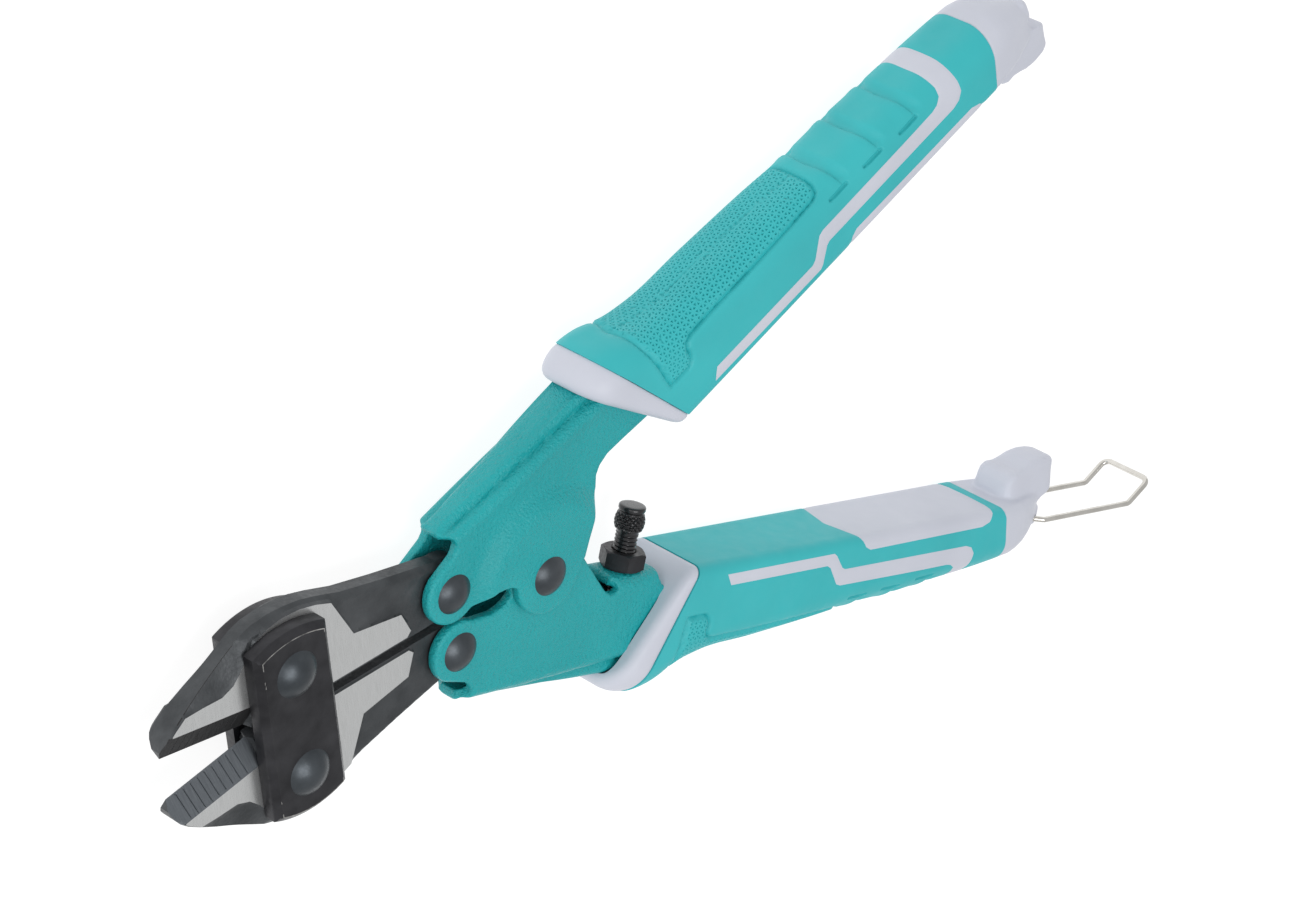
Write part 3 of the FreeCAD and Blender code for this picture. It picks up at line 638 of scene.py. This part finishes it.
def opening(line, reach_m=(6.95, 22.7), reach_z=4.62, like=None):
    """The hole in the collar, as a squarish ring with one point for each of like's."""
    centre = (reach_m[0] + reach_m[1]) / 2
    a, b = (reach_m[1] - reach_m[0]) / 2, reach_z
    angles = np.arctan2(like[:, 2] / 8.0, (like[:, 1] - centre) / 11.0)
    c, s = np.cos(angles), np.sin(angles)
    r = (np.abs(c) ** 5 + np.abs(s) ** 5) ** (-1 / 5)
    m, z = centre + a * r * c, b * r * s
    return np.column_stack((line(m), m, z))


def build_collars():
    rings = []
    for t, depth in ((-0.3, 1.6), (0.02, 1.0), (0.02, 0.30), (0.07, 0.16), (0.20, 0.03), (0.40, 0.0),
                     (0.58, 0.05), (0.72, 0.20), (0.84, 0.50), (0.93, 0.95), (0.98, 1.40), (1.0, 1.9)):
        def line(m, t=t):
            return COLLAR_BACK(m) * (1 - t) + COLLAR_FRONT(m) * t
        rings.append(section(line, depth))
    base = rings[-1]
    hole = opening(COLLAR_FRONT, like=base)
    for t in (0.35, 0.7, 0.9):
        rings.append(base * (1 - t) + hole * t)
    for back in (0.15, 0.6, 5.5):
        rings.append(opening(lambda m, back=back: COLLAR_FRONT(m) + back, (6.8, 22.9), 4.8, like=base))
    points, polygons = loft(rings, loop=True)
    for side in SIDES:
        build(f"grip_collar_{side}", from_handle(points, side), polygons, [GREY],
              f"{side}_handle", "grey_plastic", [f"grip_core_{side}"], sharp=50)


# ------------ end caps

def beveled_box(lows, highs, radius):
    net = bmesh.new()
    bmesh.ops.create_cube(net, size=1.0)
    size, middle = np.subtract(highs, lows), np.add(highs, lows) / 2
    for v in net.verts:
        v.co = Vector(np.array(v.co) * size)
    bmesh.ops.bevel(net, geom=net.edges[:], offset=radius, segments=4, affect="EDGES", profile=0.5)
    net.verts.ensure_lookup_table()
    points = np.array([tuple(v.co) for v in net.verts])
    polygons = [tuple(v.index for v in f.verts) for f in net.faces]
    net.free()
    return points + middle, polygons


def merge(parts):
    points, polygons, start = [], [], 0
    for p, q in parts:
        points.append(p)
        polygons.extend(tuple(k + start for k in f) for f in q)
        start += len(p)
    return np.vstack(points), polygons


def melted(points, polygons, voxel, rounds):
    """Overlapping closed shapes fused and eased, as a moulding's fillets are."""
    mesh = bpy.data.meshes.new("melt")
    mesh.from_pydata([tuple(p) for p in points], [], polygons)
    rough = bpy.data.objects.new("melt", mesh)
    bpy.context.scene.collection.objects.link(rough)
    fuse = rough.modifiers.new("fuse", "REMESH")
    fuse.mode = "VOXEL"
    fuse.voxel_size = voxel
    ease_off = rough.modifiers.new("ease", "SMOOTH")
    ease_off.factor = 0.5
    ease_off.iterations = rounds
    done = rough.evaluated_get(bpy.context.evaluated_depsgraph_get()).to_mesh()
    result = np.array([tuple(v.co) for v in done.vertices]), [tuple(p.vertices) for p in done.polygons]
    bpy.data.objects.remove(rough)
    return result


HEEL = (
    # s past the joint, half width, palm height, inner face
    (0.0, 8.00, None, 3.2), (1.4, 7.95, None, 3.2), (3.4, 7.75, 14.9, 3.2), (5.4, 7.35, 14.4, 3.1),
    (7.4, 6.75, 13.7, 2.9), (9.2, 6.0, 12.8, 2.7), (10.8, 5.2, 11.8, 2.5), (12.2, 4.4, 10.8, 2.5),
    (13.3, 3.5, 9.8, 2.8), (14.0, 2.5, 8.9, 3.2),
)


LUG = (
    # s, half width at the top, top, foot
    (121.0, 2.6, 2.2, 6.0), (121.7, 3.6, 0.2, 6.0), (122.6, 4.1, -1.1, 6.0), (123.8, 4.2, -1.6, 6.0),
    (125.2, 4.1, -1.6, 6.0), (126.8, 3.9, -2.2, 6.0), (128.6, 3.7, -3.1, 5.6), (131.0, 3.6, -3.6, 4.6),
    (133.6, 3.4, -3.6, 3.4), (134.9, 3.0, -3.4, 2.8), (135.5, 2.4, -2.9, 2.3),
)


def lug():
    """The hook lug on the heel of a cap, flaring towards its foot."""
    rings = []
    for s, half, top, foot in LUG:
        flare = half + 0.9 * min(1.0, (foot - top) / 6)
        ring = [(foot, -flare), (top + 2.2, -half - 0.1), (top + 0.9, -half), (top + 0.25, -half + 0.3),
                (top, -half + 1.0), (top, 0.0)]
        ring = ring + [(m, -z) for m, z in ring[-2::-1]]
        rings.append(np.array([(s, m, z) for m, z in ring]))
    return loft(rings)


def build_caps():
    rings = []
    for depth, back in ((2.4, 2.5), (1.3, 2.5), (1.3, 0.05), (0.05, 0.05)):
        rings.append(section(lambda m, b=back: CAP_JOINT(m) - b + 0.1, depth))
    for past, half, top, inner in HEEL:
        def line(m, past=past):
            lean = 1 - past / 16
            return 119.3 + past + (CAP_JOINT(m) - 119.3) * lean
        rings.append(section(line, 0.03, half, inner, top, (min(2.0, half / 3), min(5.8, half * 0.72))))
    pin_boss = beveled_box((129.4, 5.4, -3.9), (133.6, 10.2, 3.9), 1.3)
    points, polygons = melted(*merge([loft(rings), lug(), pin_boss]), 0.26, 9)
    for side in SIDES:
        build(f"end_cap_{side}_moulding", from_handle(points, side), polygons, [GREY],
              f"{side}_handle", "grey_plastic", [f"end_cap_{side}"], sharp=70)


# ------------ pressed handles

SHEET, HALF, SPINE, SPINE_ROUND = 1.8, 4.5, 22.5, 3.6
LIFT, REACH = 1.9, 15.3
GROOVE = [(-11.2, 2.6), (0.0, 3.4), (12.0, 4.4), (24.0, 5.4), (33.0, 6.0)]
GROOVE_DEEP, GROOVE_WIDTH, SHOULDER, RIVET_BORE = 1.05, 0.80, 0.38, 2.4
ROLL = SPINE_ROUND * math.pi / 2
SPAN = SPINE - SPINE_ROUND + ROLL + HALF - SPINE_ROUND
TAB_TOP, TAB_ROUND, TAB_FRONT, TAB_BACK = 4.2, 2.4, 18.6, 29.9
TAB_SEAM = TAB_TOP + TAB_ROUND - TAB_ROUND * math.pi / 2 - (HALF - TAB_ROUND)
KNUCKLE_TOOL = (-19.0, 5.8)
KNUCKLE = (KNUCKLE_TOOL[0] * COS + KNUCKLE_TOOL[1] * SIN, -KNUCKLE_TOOL[0] * SIN + KNUCKLE_TOOL[1] * COS)


def handle_surface(s, t, depth, side, tab):
    """The pressed channel from its flat blank: t is the distance from the middle of the spine."""
    sign = np.where(t < 0, -1.0, 1.0)
    w = SPAN - np.abs(t)
    crown = SPINE - SPINE_ROUND
    over = np.clip((w - crown) / SPINE_ROUND, 0, math.pi / 2)
    m = np.minimum(w, crown) + SPINE_ROUND * np.sin(over)
    z = HALF - SPINE_ROUND * (1 - np.cos(over)) - np.clip(w - crown - ROLL, 0, None)
    n_m, n_z = np.sin(over), np.cos(over)
    bend = TAB_TOP + TAB_ROUND
    in_tab = tab & (w < bend)
    under = np.clip((bend - w) / TAB_ROUND, 0, math.pi / 2)
    m = np.where(in_tab, bend - TAB_ROUND * np.sin(under), m)
    z = np.where(in_tab, HALF - TAB_ROUND * (1 - np.cos(under)) - np.clip(
        bend - w - TAB_ROUND * math.pi / 2, 0, None), z)
    n_m = np.where(in_tab, -np.sin(under), n_m)
    n_z = np.where(in_tab, np.cos(under), n_z)
    z = np.where(np.abs(z) < 1e-3, 0.0, z)
    if side == "upper":
        away = np.hypot(s, np.minimum(w, 30.0))
        lift = LIFT * (1 - ease(away, REACH - 3.6, REACH + 1.2)) * np.cos(over)
        z = z + lift
    m, z = m - depth * n_m, z - depth * n_z
    return np.column_stack((s, m, z * sign))


def cheek(side):
    """One cheek's edge from the front of the spine to the back, as (s, m)."""
    line = [(-12.3, 22.6), (-11.6, 21.6), (-11.1, 20.6), (-11.2, 19.6), (-11.9, 18.7), (-12.9, 18.1)]
    line += arc(KNUCKLE, 5.6, 112, 287, 26)
    line += [(-11.8, 6.4), (-9.6, 6.1), (-8.0, 5.3), (-6.9, 4.4)]
    line += arc((0, 0), 7.0, 152, 318, 26)
    if side == "upper":
        line += [(7.6, -3.2), (9.8, -1.0), (12.2, 1.2), (14.5, 3.3), (16.0, 4.7), (17.1, 6.7), (18.4, 7.7),
                 (20.6, 8.3), (24.0, 8.1), (30.8, 7.5), (38.6, 8.2)]
    else:
        line += [(7.6, -3.2), (9.8, -1.0), (14.5, 3.9), (16.7, 6.1), (18.2, 6.9), (19.3, 6.8), (19.8, 6.0)]
        line += [(19.4, 4.9), (TAB_FRONT, 3.9), (TAB_FRONT, TAB_SEAM), (TAB_BACK, TAB_SEAM)]
        line += [(TAB_BACK, 5.6), (30.6, 6.8), (32.0, 7.4), (38.6, 8.2)]
    return line


def on_tab(s, w, side):
    """Where the lower handle's blank folds over into the bridge under the nut."""
    return (side == "lower") & (s > TAB_FRONT - 0.1) & (s < TAB_BACK + 0.1) & (w < TAB_TOP + TAB_ROUND)


def build_handles():
    for side in SIDES:
        upper_edge = [(s, SPAN - m) for s, m in cheek(side)]
        upper_edge[0] = (-12.5, SPAN - (SPINE - SPINE_ROUND + SPINE_ROUND * 1.2))
        lower_edge = [(s, -t) for s, t in upper_edge]
        front = [(-12.5, t) for t in (0.5, -0.5)]
        back = [(33.4, 8), (32.8, 0), (33.4, -8)]
        outline = np.array(upper_edge + back + lower_edge[::-1] + front[::-1])
        holes = [arc((c[0], k * (SPAN - c[1])), RIVET_BORE, 0, 345, 24)
                 for c in (KNUCKLE, (0.0, 0.0)) for k in (1, -1)]
        plan, faces, loops = mesh_plan(outline, holes=holes, spacing=0.55, rim=(0.10, 0.28, 0.55))
        s, t = plan.T
        gap = nearest(plan, [(loop, True) for loop in loops])
        tab = on_tab(s, SPAN - np.abs(t), side)
        seam = tab & (SPAN - np.abs(t) < TAB_SEAM + 0.5)
        gap = np.where(seam, np.minimum(s - TAB_FRONT, TAB_BACK - s), gap)
        folded = np.column_stack((s, np.abs(t)))
        near = distance(folded, GROOVE, closed=False)
        fade = ease(s, -12.0, -8.0) * 0.4 + 0.6
        valley = GROOVE_DEEP * np.exp(-((near / GROOVE_WIDTH) ** 2)) * fade
        swell = SHOULDER * np.exp(-(((near - 2.3) / 1.1) ** 2)) * (np.abs(t) > 2.6) * (1 - ease(s, 24, 30))
        outer = handle_surface(s, t, round_depth(gap, 0.6) + valley - swell, side, tab)
        inner = handle_surface(s, t, SHEET - round_depth(gap, 0.3), side, tab)
        faces = facing_up(outer, faces, way=outer[faces[0][0], 2])
        points, polygons = skin(outer, inner, faces)
        build(f"handle_{side}_pressing", from_handle(points, side), polygons, [TEAL_PAINT],
              f"{side}_handle", "teal_paint", [f"handle_{side}"], sharp=50, weld=0.004)


# ------------ jaws

EDGE_TIP, EDGE_HEEL = np.array((-77.2, 3.98)), np.array((-60.6, 1.18))
TANG_EYE, GROUND_TOP, FORGED_TOP, BEVEL_RUN = 5.4, 2.6, 2.42, 4.6
LINK_RIVET, LINK_BORE, KNUCKLE_BORE, BLADE_LONG = (-53.2, 9.7), 3.05, 2.5, 17.2
JAW_OUTER = [
    (-77.3, 7.1), (-76.6, 8.2), (-75.2, 9.5), (-72.9, 11.1), (-69.6, 13.1), (-66.0, 15.1), (-62.4, 17.2),
    (-60.1, 18.5), (-57.6, 19.3), (-54.2, 19.6), (-51.0, 19.4), (-47.8, 18.9), (-44.6, 17.9),
    (-39.5, 16.0), (-31.0, 13.8), (-24.0, 12.2),
]
JAW_NOSE = (-77.7, 5.8)
JAW_OUTLINE = [
    tuple(EDGE_TIP), tuple(EDGE_HEEL), (-58.8, 0.9), (-57.0, 0.8), (-23.4, 0.8),
    *arc(KNUCKLE_TOOL, TANG_EYE, -62, 96, 22), *JAW_OUTER[::-1], JAW_NOSE,
]
GROUND_PLAN = [
    (-76.7, 7.7), (-61.4, 6.0), (-59.8, 2.6), (-58.4, 1.3), (-28.1, 1.3), (-27.2, 2.2), (-28.8, 6.2),
    (-38.7, 8.0), (-42.4, 16.0), (-45.4, 17.3), (-48.6, 18.2), (-52.0, 18.5), (-55.2, 18.1), (-57.8, 17.0),
    (-59.8, 15.4), (-61.4, 13.2), (-63.2, 11.4), (-65.6, 10.5), (-69.4, 10.7), (-73.0, 10.7), (-75.1, 9.2),
    (-76.2, 8.3),
]
WALL_TIP, WALL_SIDE = 2.2, 1.25
CUT_FIRST, CUT_LAST, CUT_PITCH, CUT_HALF, CUT_DEPTH = 1.9, 15.4, 1.5, 0.10, 0.14


def build_jaws():
    run = EDGE_HEEL - EDGE_TIP
    run = run / np.linalg.norm(run)
    side_way = np.array((-run[1], run[0]))

    def on_blade(along, across):
        return EDGE_TIP + run * along + side_way * across

    cuts = np.arange(CUT_FIRST, CUT_LAST, CUT_PITCH)
    lines = [(GROUND_PLAN, True)]
    for place in cuts:
        for shift in (-CUT_HALF, 0.0, CUT_HALF):
            lines.append(((on_blade(place + shift, 0.45), on_blade(place + shift, BEVEL_RUN - 0.35)), False))
    lines.append(((on_blade(0.7, BEVEL_RUN), on_blade(17.0, BEVEL_RUN)), False))
    holes = [arc(LINK_RIVET, LINK_BORE, 0, 345, 24), arc(KNUCKLE_TOOL, KNUCKLE_BORE, 0, 345, 24)]
    plan, faces, _ = mesh_plan(JAW_OUTLINE, holes, lines, spacing=0.55, rim=(0.12, 0.3, 0.6))
    gap_outer = distance(plan, [JAW_NOSE, *JAW_OUTER, *arc(KNUCKLE_TOOL, TANG_EYE, 96, -62, 22)], False)
    ground_gap = distance(plan, GROUND_PLAN)
    rel = plan - EDGE_TIP
    along, across = rel @ run, rel @ side_way
    on_ground = inside(plan, [GROUND_PLAN]) | (ground_gap < 1e-4)
    blade_part = 1 - ease(plan[:, 0], -60.6, -59.4)
    fall = np.clip(ground_gap / np.maximum(ground_gap + gap_outer, 1e-6), 0, 1)
    wall = WALL_TIP + (WALL_SIDE - WALL_TIP) * ease(plan[:, 0], -77.5, -63.0)
    facet = wall + (GROUND_TOP - 0.1 - wall) * (1 - fall)
    lumps = 0.05 * np.sin(plan[:, 0] * 1.7) * np.sin(plan[:, 1] * 2.1 + 1.0)
    plain = FORGED_TOP - 0.10 + lumps * ease(ground_gap, 0.3, 1.2)
    plain = np.minimum(plain, WALL_SIDE + 0.95 * gap_outer)
    height = np.where(on_ground, GROUND_TOP, plain * (1 - blade_part) + facet * blade_part)
    slope = np.clip(across, 0, None) * GROUND_TOP / BEVEL_RUN
    nearest = np.abs(along[:, None] - cuts[None]).min(1)
    cut = CUT_DEPTH * np.clip(1 - nearest / CUT_HALF, 0, 1) * (across > 0.4) * (across < BEVEL_RUN - 0.3)
    bevel = (slope < height) & (along < BLADE_LONG)
    height = np.where(bevel, np.maximum(slope - cut, 0.02), height)
    heel = (along >= BLADE_LONG) & (across < 1.6) & (plan[:, 0] < -58)
    height = np.where(heel, np.minimum(height, 1.6), height)
    height = np.clip(height, 0.02, None)
    faces = facing_up(plan, faces)
    outer = np.column_stack((plan, height))
    points, polygons = skin(outer, outer * (1, 1, -1), faces)
    # each triangle's finish: 0 forged, 1 ground, 2 bevel, 3 a dark line along the blade's crease, painted
    # shade of the crease over the forging's seam
    middle, mean_across = plan[faces].mean(1), across[faces].mean(1)
    ground = inside(middle, [GROUND_PLAN]) & (height[faces] > GROUND_TOP - 1e-3).all(1)
    tilt = (mean_across < BEVEL_RUN) & (along[faces].mean(1) < 16.9) & (height[faces].min(1) < GROUND_TOP)
    tilt = tilt & (height[faces].mean(1) < mean_across * GROUND_TOP / BEVEL_RUN + 0.05)
    # the strip along the outline is darkened as painted shade of the crease, over the forging's seam
    seam = (gap_outer[faces].mean(1) < 0.09) & (middle[:, 0] < -61.5) & (middle[:, 0] > -74.5)
    kind = np.where(tilt, 2, np.where(ground, 1, np.where(seam, 3, 0)))
    marks = np.concatenate((kind, kind, np.zeros(len(polygons) - 2 * len(faces))))
    # the upper jaw's bevel takes the darker copy: painted shade
    for side, bevel_finish in (("upper", PAINTED_SHADE_BEVEL), ("lower", BEVEL)):
        finishes = [FORGED, GROUND, bevel_finish, PAINTED_SHADE_BEVEL]
        build(f"jaw_{side}_forging", from_tool(points, side), polygons, finishes, f"{side}_jaw",
              "forged_steel", [f"jaw_{side}"], sharp=20, marks=marks, weld=0.001)


# ------------ link plates

PLATE_X, PLATE_HALF, PLATE_CORNER, PLATE_CROWN = LINK_RIVET[0], 7.5, 15.9, 1.7
PLATE_LOW, PLATE_TOP, CHAMFER, WEAR_AND_HIGHLIGHT_BAND = 2.7, 6.0, 1.1, 0.16


def inset(loop, gap):
    """The loop moved inwards by an even gap, for a convex loop given counter-clockwise."""
    loop = np.array(loop, float)
    ahead = np.roll(loop, -1, axis=0) - loop
    ahead /= np.linalg.norm(ahead, axis=1)[:, None]
    out_of = np.column_stack((-ahead[:, 1], ahead[:, 0]))
    before = np.roll(out_of, 1, axis=0)
    miter = (out_of + before) / (1 + (out_of * before).sum(1))[:, None]
    return loop + miter * gap


def plate_outline():
    ball = (PLATE_HALF**2 + PLATE_CROWN**2) / (2 * PLATE_CROWN)
    half = math.degrees(math.asin(PLATE_HALF / ball))
    top = arc((PLATE_X, PLATE_CORNER + PLATE_CROWN - ball), ball, 90 - half, 90 + half, 19)
    bottom = arc((PLATE_X, -(PLATE_CORNER + PLATE_CROWN - ball)), ball, 270 - half, 270 + half, 19)
    return [*top, *bottom]


def build_plates():
    edge = plate_outline()
    bands = [inset(edge, g) for g in (CHAMFER, CHAMFER + WEAR_AND_HIGHLIGHT_BAND)]
    holes = [arc((PLATE_X, k * LINK_RIVET[1]), LINK_BORE, 0, 345, 24) for k in (1, -1)]
    plan, faces, loops = mesh_plan(edge, holes, [(b, True) for b in bands], spacing=0.7, rim=(0.06, 0.16))
    gap = distance(plan, loops[0])
    height = np.where(gap < CHAMFER - 1e-3, PLATE_TOP - (CHAMFER - gap) * 0.95, PLATE_TOP)
    height = height - 0.6 * round_depth(gap, 0.16)
    faces = facing_up(plan, faces)
    top = np.column_stack((plan, height))
    points, polygons = skin(top, np.column_stack((plan, np.full(len(plan), PLATE_LOW))), faces)
    middle, between = plan[faces].mean(1), gap[faces].mean(1)
    # a bright line on the chamfer's ridge: a painted highlight all along the top and bottom crowns, and wear
    # in dashes on the side towards the jaw tips
    band = (between > CHAMFER) & (between < CHAMFER + WEAR_AND_HIGHLIGHT_BAND)
    crown = np.abs(middle[:, 1]) > PLATE_CORNER - CHAMFER - 0.2
    rubbed = np.sin(middle[:, 1] * 5.0) + np.sin(middle[:, 1] * 1.9) > 0.9
    wear_and_highlight = band & (crown | (rubbed & (middle[:, 0] < PLATE_X) & (np.abs(middle[:, 1]) > 10.5)))
    marks = np.concatenate((wear_and_highlight, np.zeros(len(polygons) - len(faces)))).astype(int)
    for place, flip, order in (("front", 1, 1), ("rear", -1, -1)):
        build(f"link_plate_{place}_chamfered", from_tool(points * (1, 1, flip), "upper"),
              [p[::order] for p in polygons], [BLACK, WORN_AND_HIGHLIT], "link_plates", "black_steel",
              [f"link_plate_{place}"], sharp=25, marks=marks)


# ------------ rivets, screw, nut, latch

# a head's radius, the rise of its dome, and the shank's radius
LARGE_RIVET, SMALL_RIVET = (4.1, 1.8, 3.0), (3.5, 1.35, 2.45)


def rivet(name, centre, sizes, seat, body, side="upper"):
    """A rivet domed at both ends, with its heads seated at this height above and below the middle."""
    head, dome, shank = sizes
    ball = (head**2 + dome**2) / (2 * dome)
    steps = 14
    angles = [math.asin(head / ball) * k / steps for k in range(steps + 1)]
    profile = [(ball * math.sin(a), seat + dome - ball + ball * math.cos(a)) for a in angles]
    rim = profile[-1]
    profile += [(rim[0] - 0.12, rim[1] - 0.05), (shank, seat - 0.08), (shank, 0)]
    profile[0] = (0.02, profile[0][1])
    down = [(r, -h) for r, h in profile[-2::-1]]
    points, polygons = turned(profile + down)
    points = points + (*centre, 0)
    build(f"{name}_set", from_tool(points, side), polygons, [HEAD], body, "black_steel",
          [name], sharp=40)


def build_rivets():
    for side in SIDES:
        rivet(f"jaw_rivet_{side}", LINK_RIVET, LARGE_RIVET, PLATE_TOP, "link_plates", side)
        rivet(f"knuckle_rivet_{side}", KNUCKLE_TOOL, SMALL_RIVET, HALF, f"{side}_handle", side)
    rivet("main_rivet", (0, 0), SMALL_RIVET, HALF + LIFT, "lower_handle")


SCREW_S = 24.0
THREAD_PITCH, THREAD_DEPTH = 0.7, 0.20
KNURL_TURNS, KNURL_LEAN, KNURL_DEEP = 15, 1.15, 0.26


def build_screw():
    def shape(angles, radius, height):
        if -2.2 < height:
            wave = np.abs(((height / THREAD_PITCH + angles / (2 * math.pi)) % 1.0) - 0.5) * 2
            return radius - THREAD_DEPTH * (1 - wave) * (height > -1.95)
        if -5.9 < height < -2.8:
            around = angles * KNURL_TURNS / (2 * math.pi)
            one, two = (np.abs(((around + k * height * KNURL_LEAN) % 1.0) - 0.5) * 2 for k in (1, -1))
            fade = ease(height, -5.9, -5.5) * (1 - ease(height, -3.1, -2.8))
            crossed = np.maximum(ease(1 - one, 0.55, 0.95), ease(1 - two, 0.55, 0.95))
            return radius - KNURL_DEEP * fade * crossed
        return radius
    profile = [(0.05, -7.1), (1.6, -7.1), (2.05, -7.08), (2.25, -7.0), (2.36, -6.85), (2.38, -6.4),
               (2.30, -6.22), (2.10, -6.1), (2.06, -6.0)]
    for h in np.arange(-5.9, -2.8, 0.075):
        bulge = math.sin(math.pi * (h + 6.1) / 3.9)
        profile.append((2.06 + 0.60 * max(bulge, 0) ** 0.8, h))
    profile += [(2.12, -2.75), (1.95, -2.45), (1.9, -2.2)]
    for h in np.arange(-2.0, 12.0, 0.07):
        profile.append((2.0, h))
    profile += [(1.7, 12.3), (0.05, 12.4)]
    points, polygons = turned(profile, 96, "y", shape)
    points = points + (SCREW_S, 0, 0)
    build("stop_screw_turned", from_handle(points, "lower"), polygons, [GLOSS],
          "stop_screw", "black_steel", ["stop_screw"], sharp=35)


def build_nut():
    flats, top, bottom = 7.0, 1.0, 4.18

    def shape(angles, radius, height):
        if radius[0] < 2.6:
            return radius
        local = (angles + math.pi / 6) % (math.pi / 3) - math.pi / 6
        hexagon = flats / 2 / np.cos(local)
        bevel = 3.45 + np.minimum(height - top, bottom - height) * 1.9
        return np.minimum(hexagon, bevel)
    profile = [(2.02, 2.0), (2.02, top + 0.3), (2.3, top), (3.0, top)]
    profile += [(4.0, h) for h in (top + 0.001, top + 0.08, top + 0.16, top + 0.26, top + 0.4, 2.2, 3.2)]
    profile += [(4.0, h) for h in (bottom - 0.3, bottom - 0.15, bottom - 0.05, bottom)]
    profile += [(2.3, bottom), (2.02, bottom - 0.3), (2.02, 2.01)]
    points, polygons = turned(profile, 96, "y", shape, loop=True)
    points = points + (SCREW_S, 0, 0)
    build("lock_nut_faced", from_handle(points, "lower"), polygons, [BLACK],
          "lock_nut", "black_steel", ["lock_nut"], sharp=25)


def wire_path(corners, radii):
    """The corners joined by straight runs, each inner corner rounded to its radius."""
    path, here = [], np.array(corners[0], float)
    path.append(here)
    for k in range(1, len(corners) - 1):
        a, b, c = (np.array(corners[j], float) for j in (k - 1, k, k + 1))
        back, ahead = (a - b) / np.linalg.norm(a - b), (c - b) / np.linalg.norm(c - b)
        half = math.acos(np.clip(back @ ahead, -1, 1)) / 2
        reach = radii[k - 1] / math.tan(half)
        centre = b + (back + ahead) / np.linalg.norm(back + ahead) * radii[k - 1] / math.sin(half)
        start, end = b + back * reach, b + ahead * reach
        for t in np.linspace(0, 1, 9):
            spoke = (start - centre) * (1 - t) + (end - centre) * t
            path.append(centre + spoke / np.linalg.norm(spoke) * radii[k - 1])
    path.append(np.array(corners[-1], float))
    return np.array(path)


WIRE_RADIUS = 0.55


def build_latch():
    # the pin's place, the legs' distance from the middle, the kink, and the far end and its height
    s, m, z, far, drop, end = 131.5, 8.2, 5.4, 158.8, 4.0, 163.7
    half = [(s, m, 2.0), (s, m, 4.2), (s + 1.9, m, z), (far, m, z), (end, drop, z)]
    corners = half + [(a, b, -c) for a, b, c in half[::-1]]
    path = wire_path(corners, [0.7, 0.9, 1.5, 1.5, 1.5, 1.5, 0.9, 0.7])
    heading = np.gradient(path, axis=0)
    heading /= np.linalg.norm(heading, axis=1)[:, None]
    side_way = np.cross(heading, (0.0, 1.0, 0.0))
    side_way /= np.linalg.norm(side_way, axis=1)[:, None]
    up = np.cross(side_way, heading)
    angles = np.linspace(0, 2 * math.pi, 20, endpoint=False)
    rings = [p + WIRE_RADIUS * (np.cos(angles)[:, None] * a + np.sin(angles)[:, None] * b)
             for p, a, b in zip(path, side_way, up)]
    points, polygons = loft(rings)
    build("wire_latch_bail", from_handle(points, "lower"), polygons, [WIRE],
          "wire_latch", "steel_wire", ["wire_latch"], sharp=50)


# ------------ the whole

build_grips()
build_collars()
build_caps()
build_handles()
build_jaws()
build_plates()
build_rivets()
build_screw()
build_nut()
build_latch()
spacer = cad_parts["pivot_spacer"]
spacer.data.materials.clear()
spacer.data.materials.append(BLACK)

# ------------ stage

def area_light(name, place, size, power):
    """A soft white rectangle of light that faces the middle of the row frame."""
    data = bpy.data.lights.new(name, "AREA")
    data.shape = "RECTANGLE"
    data.size, data.size_y = size
    data.energy = power
    lamp = bpy.data.objects.new(name, data)
    lamp.location = place
    lamp.rotation_euler = (-Vector(place)).to_track_quat("-Z", "Y").to_euler()
    bpy.context.scene.collection.objects.link(lamp)


FLOOR_HALF, FLOOR_Z, GLOW, SKY = 4.0, -0.0002, 0.90, 0.62
floor_mesh = bpy.data.meshes.new("floor")
corners = [(x * FLOOR_HALF, y * FLOOR_HALF, FLOOR_Z) for x, y in ((-1, -1), (1, -1), (1, 1), (-1, 1))]
floor_mesh.from_pydata(corners, [], [(0, 1, 2, 3)])
paper = shade("floor", [(0.20, 0.20, 0.20), (0.21, 0.21, 0.21)], (0.7, 0.8), specular=0.1)
put(paper.node_tree.nodes["Principled BSDF"], Emission_Color=(1, 1, 1, 1), Emission_Strength=GLOW)
floor_mesh.materials.append(paper)
floor = bpy.data.objects.new("floor", floor_mesh)
bpy.context.scene.collection.objects.link(floor)

world = bpy.data.worlds.new("world")
bpy.context.scene.world = world
world.use_nodes = True
put(world.node_tree.nodes["Background"], Color=(1, 1, 1, 1), Strength=SKY)
area_light("key", (-0.30, 0.05, 1.0), (0.6, 0.6), 3.6)
area_light("fill", (-0.9, 0.5, 0.5), (0.4, 0.8), 1.4)

# the camera's place from the main pivot in millimetres, and the ways its picture's axes point
CAMERA_FROM_PIVOT = np.array((-383.269, 418.529, 460.014))
PICTURE_RIGHT = np.array((0.7135976, -0.0621593, 0.6977927))
PICTURE_DOWN = np.array((-0.4251640, -0.8300736, 0.3608509))
PICTURE_AHEAD = np.array((0.5567891, -0.5541787, -0.6187664))
camera_data = bpy.data.cameras.new("camera")
camera_data.lens, camera_data.sensor_width = 121.4515, 36.0
camera = bpy.data.objects.new("camera", camera_data)
bpy.context.scene.collection.objects.link(camera)
turn = Matrix((PICTURE_RIGHT, -PICTURE_DOWN, -PICTURE_AHEAD)).transposed()
camera.matrix_world = Matrix.Translation((CAMERA_FROM_PIVOT + PIVOT) * MM) @ turn.to_4x4()
camera_data.clip_start, camera_data.clip_end = 0.01, 20.0
bpy.context.scene.camera = camera
bpy.context.scene.view_settings.view_transform = "Standard"
